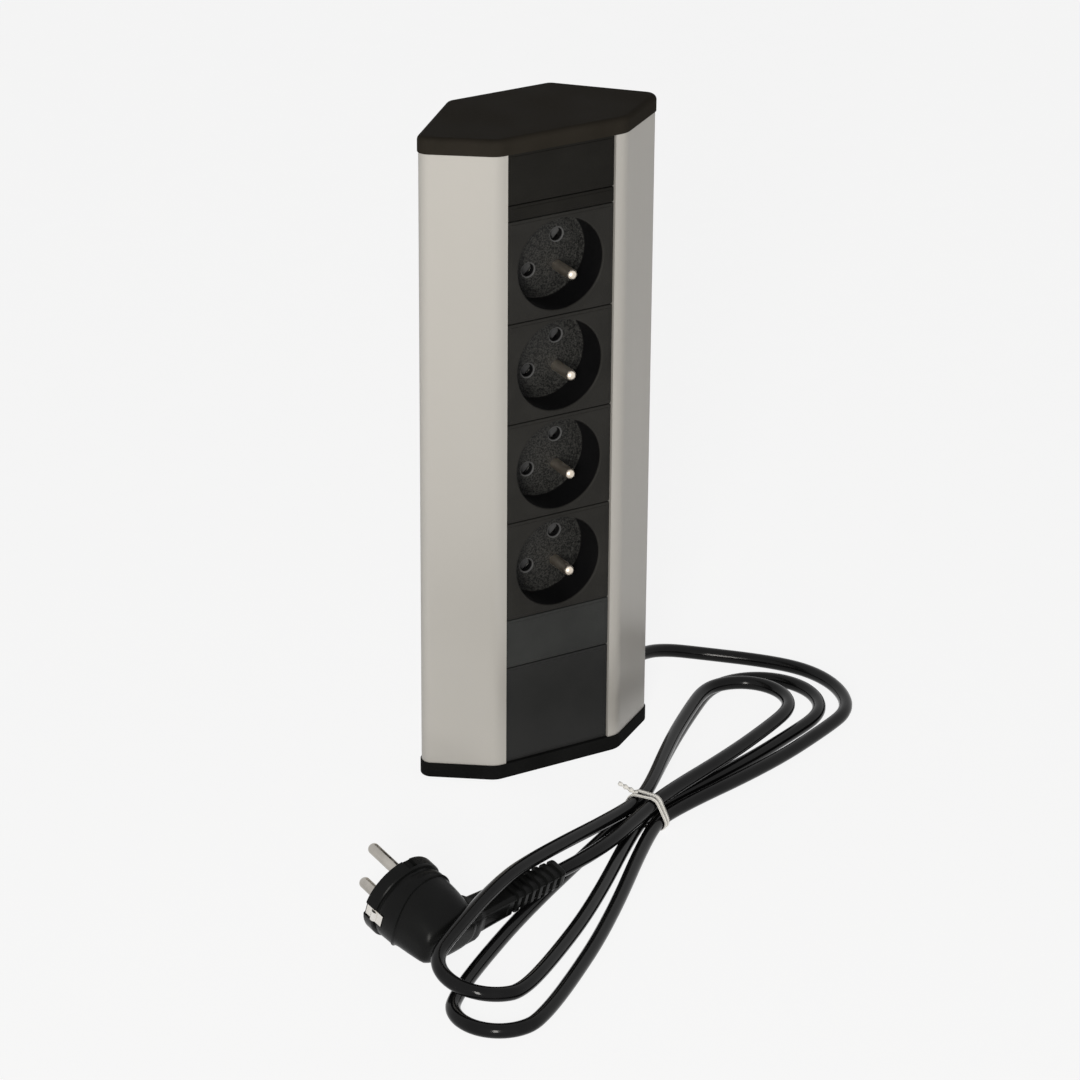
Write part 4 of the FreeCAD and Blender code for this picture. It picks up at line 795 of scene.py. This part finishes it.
def make_socket(number):
    """One socket with its plate, well, floor and studs."""
    centre = SOCKETS[number]
    half = (SOCKET_PITCH - PLATE_GAP) / 2
    shell = Shell()
    back, field = lay_plate(shell, centre - half, centre + half)
    inner = add_well(shell, centre, field)
    hole_backs = add_floor(shell, centre, inner)
    outer = WELL_RADIUS + WELL_WALL
    cup = [socket_ring(centre, outer, PLATE_BACK), socket_ring(centre, outer, FLOOR_BACK)]
    cup_root, cup_end = shell.skin(cup)
    shell.fill([back, cup_root])
    shell.fill([cup_end] + hole_backs)
    add_studs(shell, centre)
    replaced = [f"socket_insert_{number}"]
    return shell.build(f"socket_{number}_well", SOCKET_FINISHES, replaced)


def make_strip():
    make_blank("terminal_cover", BASE, COVER_TOP, "cover")
    # The lower plate takes the lighter copy of the strip plastic: painted light
    make_blank("lower_blank", COVER_TOP, SOCKETS_LOW, "lower")
    # The spacer and top plates take the darker copy of the strip plastic: painted shade
    make_blank("spacer_strip", SOCKETS_HIGH, SPACER_TOP, "upper")
    make_blank("top_blank", SPACER_TOP, TOP, "upper")
    for number in SOCKETS:
        make_socket(number)


# Strain relief where the cord leaves the housing: a bush with two flanges and a ribbed sleeve

OUTLET_WAY = Vector((HALF_ROOT, HALF_ROOT, 0.0))
BORE = 3.05
NECK_RADIUS = 3.7
NECK_LENGTH = 2.1
FLANGE_RADIUS = 5.5
FLANGE = 1.5
INNER_BEVEL = 0.3
OUTER_BEVEL = 0.5
SEAT_BEVEL = (0.2, 0.1)
RELIEF_LENGTH = 18.5
RELIEF_ROOT = 5.0
RELIEF_TIP = 3.7
RELIEF_SEAT = 0.2
RELIEF_START = 2.2
RELIEF_PLAIN = 1.5
RELIEF_PITCH = 3.1
RELIEF_GROOVE = 1.3
RELIEF_DEPTH = 0.9
RELIEF_WALL = 0.25
RELIEF_SIDES = 48
TIP_BEVEL = (0.5, 0.4)
# A groove's edge: how far it starts outside, the drop of its round and where that ends, its wall's lean
EDGE_OUT = 0.15
EDGE_DROP = 0.25
EDGE_IN = 0.1
EDGE_LEAN = 0.2
CAP_TOP = 7.05


def sleeve_radius(distance):
    share = (distance - FLANGE) / RELIEF_LENGTH
    return RELIEF_ROOT + (RELIEF_TIP - RELIEF_ROOT) * share


def sleeve_outline():
    """The ribbed sleeve, from its root to its tip: distance and radius."""
    outline = [(FLANGE + RELIEF_SEAT, sleeve_radius(FLANGE))]
    distance = FLANGE + RELIEF_START
    while distance + RELIEF_GROOVE < FLANGE + RELIEF_LENGTH - RELIEF_PLAIN:
        top = sleeve_radius(distance)
        foot = sleeve_radius(distance + RELIEF_GROOVE)
        depth = min(RELIEF_DEPTH, top - BORE - RELIEF_WALL)
        outline.append((distance - EDGE_OUT, top))
        outline.append((distance + EDGE_IN, top - EDGE_DROP))
        outline.append((distance + EDGE_LEAN, top - depth))
        distance += RELIEF_GROOVE
        outline.append((distance - EDGE_LEAN, foot - depth))
        outline.append((distance - EDGE_IN, foot - EDGE_DROP))
        outline.append((distance + EDGE_OUT, foot))
        distance += RELIEF_PITCH - RELIEF_GROOVE
    end = FLANGE + RELIEF_LENGTH
    return outline + [(end - TIP_BEVEL[0], RELIEF_TIP), (end, RELIEF_TIP - TIP_BEVEL[1]), (end, BORE)]


def make_relief():
    outline = [
        (-NECK_LENGTH - FLANGE, BORE),
        (-NECK_LENGTH - FLANGE, FLANGE_RADIUS - INNER_BEVEL),
        (-NECK_LENGTH - FLANGE + INNER_BEVEL, FLANGE_RADIUS),
        (-NECK_LENGTH, FLANGE_RADIUS),
        (-NECK_LENGTH, NECK_RADIUS),
        (0.0, NECK_RADIUS),
        (0.0, FLANGE_RADIUS - SEAT_BEVEL[1]),
        (SEAT_BEVEL[0], FLANGE_RADIUS),
        (FLANGE - OUTER_BEVEL, FLANGE_RADIUS),
        (FLANGE, FLANGE_RADIUS - OUTER_BEVEL),
    ]
    rings = []
    for reach, radius in outline + sleeve_outline():
        ring = circle(OUTLET + OUTLET_WAY * reach, OUTLET_WAY.cross(Z_WAY), Z_WAY, radius, RELIEF_SIDES)
        if reach <= FLANGE:
            ring = [Vector((p.x, p.y, max(p.z, CAP_TOP))) for p in ring]
        rings.append(ring)
    shell = Shell()
    shell.skin(rings, closed=True)
    return shell.build("strain_relief", ["relief"], ["cord_grommet"])


# Tie: a paper covered wire wound twice round the waist and twisted together

TIE_RADIUS = CORD_DIAMETER / 2 + 0.35
TIE_LIFT = 0.3
TIE_SECTION = [
    (-1.25, 0.02), (-1.1, 0.16), (-0.5, 0.2), (-0.25, 0.46), (0.25, 0.46), (0.5, 0.2), (1.1, 0.16),
    (1.25, 0.02), (1.1, -0.1), (-1.1, -0.1),
]
TIE_ARC_STEPS = 7
TIE_SPREAD = 1.75
TIE_SKEW = 0.075
TWIST_LENGTH = 9.0
TWIST_TURNS = 1.75
TWIST_STEPS = 42
TWIST_SIDES = 16
TWIST_HALVES = (1.25, 0.7)
TWIST_TAPER = 0.25
# The way that the twisted end points: up, across the hank and back along it
TWIST_LEAN = (0.55, 0.9, 0.35)
TWIST_ASIDE = 0.6
TWIST_SINK = 0.1


def waist_loop():
    """The tie's way round the four corner strands: their centres and the outward directions."""
    corners = [(-LAYER, WAIST_LOW), (LAYER, WAIST_LOW), (LAYER / 2, WAIST_HIGH), (-LAYER / 2, WAIST_HIGH)]
    found = []
    for i, (across, height) in enumerate(corners):
        before, after = corners[i - 1], corners[(i + 1) % len(corners)]
        start = math.atan2(before[0] - across, height - before[1])
        end = math.atan2(across - after[0], after[1] - height)
        while end < start:
            end += math.tau
        for step in range(TIE_ARC_STEPS + 1):
            turn = start + (end - start) * step / TIE_ARC_STEPS
            found.append((across, height, math.cos(turn), math.sin(turn)))
    return found


def add_winding(shell, along, across_way, side):
    """One of the two turns round the strands, beside the other and a little askew."""
    rings = []
    for across, height, out_across, out_up in waist_loop():
        outward = across_way * out_across + Z_WAY * out_up
        middle = WAIST + across_way * across + Z_WAY * height + outward * (TIE_RADIUS + TIE_LIFT)
        reach = across + out_across * TIE_RADIUS
        shift = side * (TIE_SPREAD + reach * TIE_SKEW)
        rings.append([middle + along * (shift + a) + outward * b for a, b in TIE_SECTION])
    shell.skin(rings, closed=True)


def add_twist(shell, along, across_way):
    """The twisted end of the tie, tapering as it goes."""
    up, aside, back = TWIST_LEAN
    lean = (Z_WAY * up + across_way * aside - along * back).normalized()
    flat = lean.cross(along).normalized()
    other = lean.cross(flat)
    root = WAIST + across_way * (LAYER / 2 + TWIST_ASIDE) + Z_WAY * (WAIST_HIGH + TIE_RADIUS - TWIST_SINK)
    broad, narrow = TWIST_HALVES
    rings = []
    for step in range(TWIST_STEPS + 1):
        share = step / TWIST_STEPS
        turn = math.tau * TWIST_TURNS * share
        size = 1.0 - TWIST_TAPER * share
        first = (flat * math.cos(turn) + other * math.sin(turn)) * (broad * size)
        second = (other * math.cos(turn) - flat * math.sin(turn)) * (narrow * size)
        place = root + lean * (TWIST_LENGTH * share)
        rings.append(circle(place, first, second, 1.0, TWIST_SIDES))
    shell.solid(rings)


def make_tie():
    along = Vector((math.cos(HEADING), math.sin(HEADING), 0.0))
    across_way = Vector((-math.sin(HEADING), math.cos(HEADING), 0.0))
    shell = Shell()
    for side in (-1, 1):
        add_winding(shell, along, across_way, side)
    add_twist(shell, along, across_way)
    return shell.build("twist_tie", ["tie"], ["cord_tie"])


# Plug's head: a round face with notches and guides, and a tapering grip with a moulded seam

DISC_RADIUS = 18.0
DISC_DEPTH = 6.0
NOTCH_DEPTH = 1.6
NOTCH_HALF = 3.0
GUIDE_HALF = 2.2
GUIDE_DEPTH = 1.3
GUIDE_LENGTH = 5.0
PLAIN_STEPS = 14
EARTH_BORE = 2.7
EARTH_BORE_DEPTH = 12.0
EARTH_BEVEL = 0.4
EARTH_SIDES = 32
EARTH_HOLE = Vector((-10.0, 0.0, 0.0))
# The grip from start to end: half its size, its swell and narrowing in width, its fall in height
GRIP_START = 3.0
GRIP_END = 34.0
GRIP_HALF = 17.3
GRIP_SWELL = 1.6
GRIP_NARROWING = 2.3
GRIP_FALL = 8.3
GRIP_SQUARING = 0.9
# The seam's middle depth, how it swings and leans round the head, and its step down
SEAM_DEPTH = 13.2
SEAM_SWING = 1.1
SEAM_LEAN = -2.2
SEAM_STEP = 0.45
# The upper side of the grip is fuller by this share, which grows and fades over this turn
CROWN = 0.22
CROWN_TURN = math.radians(140.0)
# Rings of the face: depth, distance in at the sides and above, and whether the guides are cut there
DISC_PROFILE = [
    (0.0, 0.9, 0.9, True),
    (0.25, 0.25, 0.25, True),
    (0.9, 0.0, 0.0, True),
    (GUIDE_LENGTH, 0.0, 0.0, True),
    (GUIDE_LENGTH, 0.0, 0.0, False),
    (DISC_DEPTH - 0.5, 0.0, 0.0, False),
    (DISC_DEPTH, 0.4, 0.4, False),
    (DISC_DEPTH + 0.1, 1.3, 1.5, False),
    (DISC_DEPTH + 0.7, 1.4, 1.6, False),
]
# Rings of the grip with the notches in it: depth, where its size is taken, distance in twice
NOTCHED_PROFILE = [
    (DISC_DEPTH + 1.3, DISC_DEPTH + 1.4, 0.1, 0.3),
    (9.0, 9.0, 0.0, 0.0),
    (10.4, 10.4, 0.0, 0.0),
]
NOTCH_END = 10.4
# Rings of the seam: distance behind it, and distance out
SEAM_PROFILE = [(0.001, 0.0), (0.15, SEAM_STEP * 0.6), (0.55, SEAM_STEP * 0.6), (0.8, -SEAM_STEP)]
# Rings of the grip behind the seam: depth, and distance in
GRIP_PROFILE = [(depth, SEAM_STEP) for depth in (18.5, 21.0, 24.0, 27.0, 30.0)]
GRIP_PROFILE += [(31.8, 0.6), (33.0, 1.3), (33.7, 2.3), (GRIP_END, 3.8)]


def head_turns():
    """Directions round the head, each with the kind of feature that its point can follow."""
    notch = math.degrees(math.asin(NOTCH_HALF / DISC_RADIUS))
    guide = math.degrees(math.asin(GUIDE_HALF / DISC_RADIUS))
    turns = []
    for quarter in range(4):
        start = 90.0 * quarter
        kind, half, next_half = ("notch", notch, guide) if quarter % 2 == 0 else ("guide", guide, notch)
        turns += [(start - half, ""), (start - half, kind), (start - half / 2, kind), (start, kind)]
        turns += [(start + half / 2, kind), (start + half, kind), (start + half, "")]
        first, last = start + half, start + 90.0 - next_half
        turns += [(first + (last - first) * step / PLAIN_STEPS, "") for step in range(1, PLAIN_STEPS)]
    return [(math.radians(angle), kind) for angle, kind in turns]


def rounded(value, power):
    return math.copysign(abs(value) ** (2.0 / power), value)


def head_ring(depth, half_x, half_y, power=2.0, notched=False, guided=False, seam=0.0):
    """A ring of the plug's head; with a seam distance, it runs that far behind the moulded seam."""
    found = []
    for turn, kind in head_turns():
        x = half_x * rounded(math.cos(turn), power)
        y = half_y * rounded(math.sin(turn), power)
        z = -depth
        if seam:
            z = -(SEAM_DEPTH + SEAM_SWING * math.cos(2.0 * turn) + SEAM_LEAN * math.cos(turn)) - seam
        if y < 0.0 and depth > DISC_DEPTH:
            y *= 1.0 + CROWN * math.sin(CROWN_TURN * (depth - DISC_DEPTH) / (GRIP_END - DISC_DEPTH))
        if notched and kind == "notch":
            x = math.copysign(DISC_RADIUS - NOTCH_DEPTH, x)
        if guided and kind == "guide":
            y = math.copysign(DISC_RADIUS - GUIDE_DEPTH, y)
        found.append(Vector((x, y, z)))
    return found


def grip_size(depth):
    """Half width, half height and squareness of the grip at a depth behind the face."""
    share = (depth - GRIP_START) / (GRIP_END - GRIP_START)
    half_x = GRIP_HALF + GRIP_SWELL * share * (1.0 - share) - GRIP_NARROWING * share
    half_y = GRIP_HALF - GRIP_FALL * share
    return half_x, half_y, 2.0 + GRIP_SQUARING * share


def add_head(shell):
    rings = []
    for depth, in_x, in_y, guided in DISC_PROFILE:
        ring = head_ring(depth, DISC_RADIUS - in_x, DISC_RADIUS - in_y, notched=True, guided=guided)
        rings.append(ring)
    for depth, size_depth, in_x, in_y in NOTCHED_PROFILE:
        half_x, half_y, power = grip_size(size_depth)
        rings.append(head_ring(depth, half_x - in_x, half_y - in_y, power, notched=True))
    rings.append(head_ring(NOTCH_END, *grip_size(NOTCH_END)))
    half_x, half_y, power = grip_size(SEAM_DEPTH)
    for behind, out in SEAM_PROFILE:
        rings.append(head_ring(SEAM_DEPTH, half_x + out, half_y + out, power, seam=behind))
    for depth, inset in GRIP_PROFILE:
        half_x, half_y, power = grip_size(depth)
        rings.append(head_ring(depth, half_x - inset, half_y - inset, power))
    face, rear = shell.skin(rings)
    shell.fill([rear])
    rim, floor = shell.skin([
        circle(EARTH_HOLE, X_WAY, Y_WAY, EARTH_BORE + EARTH_BEVEL, EARTH_SIDES),
        circle(EARTH_HOLE - Z_WAY * EARTH_BEVEL, X_WAY, Y_WAY, EARTH_BORE, EARTH_SIDES),
        circle(EARTH_HOLE - Z_WAY * EARTH_BORE_DEPTH, X_WAY, Y_WAY, EARTH_BORE, EARTH_SIDES),
    ])
    shell.fill([floor])
    shell.fill([face, rim])


# Plug's arm: a neck, a panel let into its broad sides, and a sleeve of slots that lets it flex

ARM_ROOT = (6.0, 7.0)
ARM_TIP = 4.6
ARM_ROUND = 1.9
ARM_CORNER_STEPS = 4
# Sections of the neck: place, half height and half width
ARM_NECK = [(6.0, (7.4, 7.6)), (14.5, (7.3, 7.5)), (16.5, (6.7, 7.2))]
NECK_END = 18.5
PANEL = (20.0, 33.0)
PANEL_HALF = 3.4
PANEL_DEPTH = 0.5
PANEL_EDGE = 0.3
RIB_START = 36.0
RIB_PITCH = 4.2
RIB_SLOT = 1.9
RIB_COUNT = 7
RIB_EDGE = 0.3
SLOT_INSET = (0.9, 0.45)
WINDOW_HALF = 2.5
CORE = 3.5
# Sections of the tip: place, and distance in
ARM_REAR = [(ARM_LENGTH - 0.8, 0.0), (ARM_LENGTH - 0.25, 0.25), (ARM_LENGTH, 0.8)]


def arm_size(x):
    """Half height and half width of the arm."""
    share = x / ARM_LENGTH
    return ARM_ROOT[0] + (ARM_TIP - ARM_ROOT[0]) * share, ARM_ROOT[1] + (ARM_TIP - ARM_ROOT[1]) * share


def arm_ring(x, half_y, half_z, inner_half=WINDOW_HALF, inner_z=None):
    """A section of the arm, with the middle of its two broad sides let in where asked."""
    low = inner_z if inner_z is not None else half_z
    flat = half_y - ARM_ROUND
    tall = half_z - ARM_ROUND
    found = []
    for side_y, side_z, turns in quarter_turns(ARM_CORNER_STEPS):
        if side_y * side_z < 0:
            found += [(side_z * inner_half, side_z * half_z), (side_z * inner_half, side_z * low)]
            found += [(-side_z * inner_half, side_z * low), (-side_z * inner_half, side_z * half_z)]
        for turn in turns:
            y = side_y * flat + ARM_ROUND * math.cos(turn)
            z = side_z * tall + ARM_ROUND * math.sin(turn)
            found.append((y, z))
    return [Vector((x, y, z - ARM_DEPTH)) for y, z in found]


def slot_rings(start):
    """Sections of one slot round the arm, whose windows reach down to the core."""
    rings = [arm_ring(start - RIB_EDGE, *arm_size(start - RIB_EDGE))]
    end = start + RIB_SLOT
    for x, window in ((start, None), (start, CORE), (end, CORE), (end, None)):
        half_y, half_z = arm_size(x)
        rings.append(arm_ring(x, half_y - SLOT_INSET[0], half_z - SLOT_INSET[1], inner_z=window))
    rings.append(arm_ring(end + RIB_EDGE, *arm_size(end + RIB_EDGE)))
    return rings


def add_arm(shell):
    rings = [arm_ring(x, *size) for x, size in ARM_NECK]
    rings.append(arm_ring(NECK_END, *arm_size(NECK_END)))
    start, end = PANEL
    for x, depth in (
        (start, 0.0), (start + PANEL_EDGE, PANEL_DEPTH), (end - PANEL_EDGE, PANEL_DEPTH), (end, 0.0),
    ):
        half_y, half_z = arm_size(x)
        rings.append(arm_ring(x, half_y, half_z, PANEL_HALF, half_z - depth))
    for step in range(RIB_COUNT):
        rings += slot_rings(RIB_START + step * RIB_PITCH)
    for x, inset in ARM_REAR:
        half_y, half_z = arm_size(x)
        rings.append(arm_ring(x, half_y - inset, half_z - inset))
    shell.solid(rings)


def make_plug():
    arm, side, pins = plug_frame()
    turn = Matrix((arm, side, pins)).transposed().to_4x4()
    shell = Shell()
    add_head(shell)
    add_arm(shell)
    place = Matrix.Translation(PLUG_PLACE) @ turn
    return shell.build("angled_plug", ["plug"], ["plug_body"], place)


# Room: a white surround, a pale floor and one soft lamp

WORLD_STRENGTH = 0.09
WHITE = (1.0, 1.0, 1.0, 1.0)
FLOOR_WHITE = 0.88
FLOOR_REACH = 12000.0
LAMP_PLACE = (-1080.0, -1490.0, 620.0)
LAMP_AIM = (0.0, 0.0, 140.0)
LAMP_WIDTH = 300.0
LAMP_HEIGHT = 900.0
LAMP_WATTS = 26.5
LAMP_COLOUR = (1.0, 0.975, 0.93)


def greater(made, first, second):
    """The greater of two values, by a node."""
    chosen = add_node(made, "ShaderNodeMath", operation="MAXIMUM")
    wire(made, first, chosen.inputs[0])
    wire(made, second, chosen.inputs[1])
    return chosen.outputs[0]


def white_where_seen(made, plain, shader_kind, share):
    """Mix a plain shader with a share of pure white for camera, mirror and glass rays."""
    path = add_node(made, "ShaderNodeLightPath")
    seen = greater(made, path.outputs["Is Camera Ray"], path.outputs["Is Glossy Ray"])
    seen = greater(made, seen, path.outputs["Is Transmission Ray"])
    white = add_node(made, shader_kind, Color=WHITE, Strength=1.0)
    part = add_node(made, "ShaderNodeMath", operation="MULTIPLY")
    part.inputs[1].default_value = share
    wire(made, seen, part.inputs[0])
    mix = add_node(made, "ShaderNodeMixShader")
    wire(made, part.outputs[0], mix.inputs[0])
    wire(made, plain, mix.inputs[1])
    wire(made, white.outputs[0], mix.inputs[2])
    return mix.outputs[0]


def make_surround():
    world = bpy.data.worlds.new("surround")
    bpy.context.scene.world = world
    world.use_nodes = True
    plain = world.node_tree.nodes["Background"]
    plain.inputs["Color"].default_value = WHITE
    plain.inputs["Strength"].default_value = WORLD_STRENGTH
    mixed = white_where_seen(world, plain.outputs[0], "ShaderNodeBackground", 1.0)
    wire(world, mixed, world.node_tree.nodes["World Output"].inputs["Surface"])


def make_floor():
    mesh = bpy.data.meshes.new("floor")
    corners = [(x * FLOOR_REACH, y * FLOOR_REACH, 0.0) for x, y in ((-1, -1), (1, -1), (1, 1), (-1, 1))]
    mesh.from_pydata([metres(corner) for corner in corners], [], [(0, 1, 2, 3)])
    floor = bpy.data.objects.new("floor", mesh)
    bpy.context.scene.collection.objects.link(floor)
    paint = new_material("floor_paint", (0.93, 0.93, 0.93), 0.6)
    spread(paint, pattern(paint, 60.0), 0.55, 0.65, "Roughness")
    surface = paint.node_tree.nodes["Principled BSDF"].outputs[0]
    mixed = white_where_seen(paint, surface, "ShaderNodeEmission", FLOOR_WHITE)
    wire(paint, mixed, paint.node_tree.nodes["Material Output"].inputs["Surface"])
    mesh.materials.append(paint)


def add_lamp():
    lamp = bpy.data.lights.new("key_lamp", "AREA")
    lamp.shape = "RECTANGLE"
    lamp.size = LAMP_WIDTH * MM
    lamp.size_y = LAMP_HEIGHT * MM
    lamp.energy = LAMP_WATTS
    lamp.color = LAMP_COLOUR
    holder = bpy.data.objects.new("key_lamp", lamp)
    bpy.context.scene.collection.objects.link(holder)
    look = (Vector(LAMP_AIM) - Vector(LAMP_PLACE)).to_track_quat("-Z", "Y")
    holder.matrix_world = Matrix.Translation(metres(LAMP_PLACE)) @ look.to_matrix().to_4x4()


# The scene, with the camera and the cord first

add_camera()
dress_nodes()
cord = make_cord()
make_strip()
relief = make_relief()
tie = make_tie()
plug = make_plug()
make_surround()
make_floor()
add_lamp()
bpy.context.scene.view_settings.view_transform = "Standard"
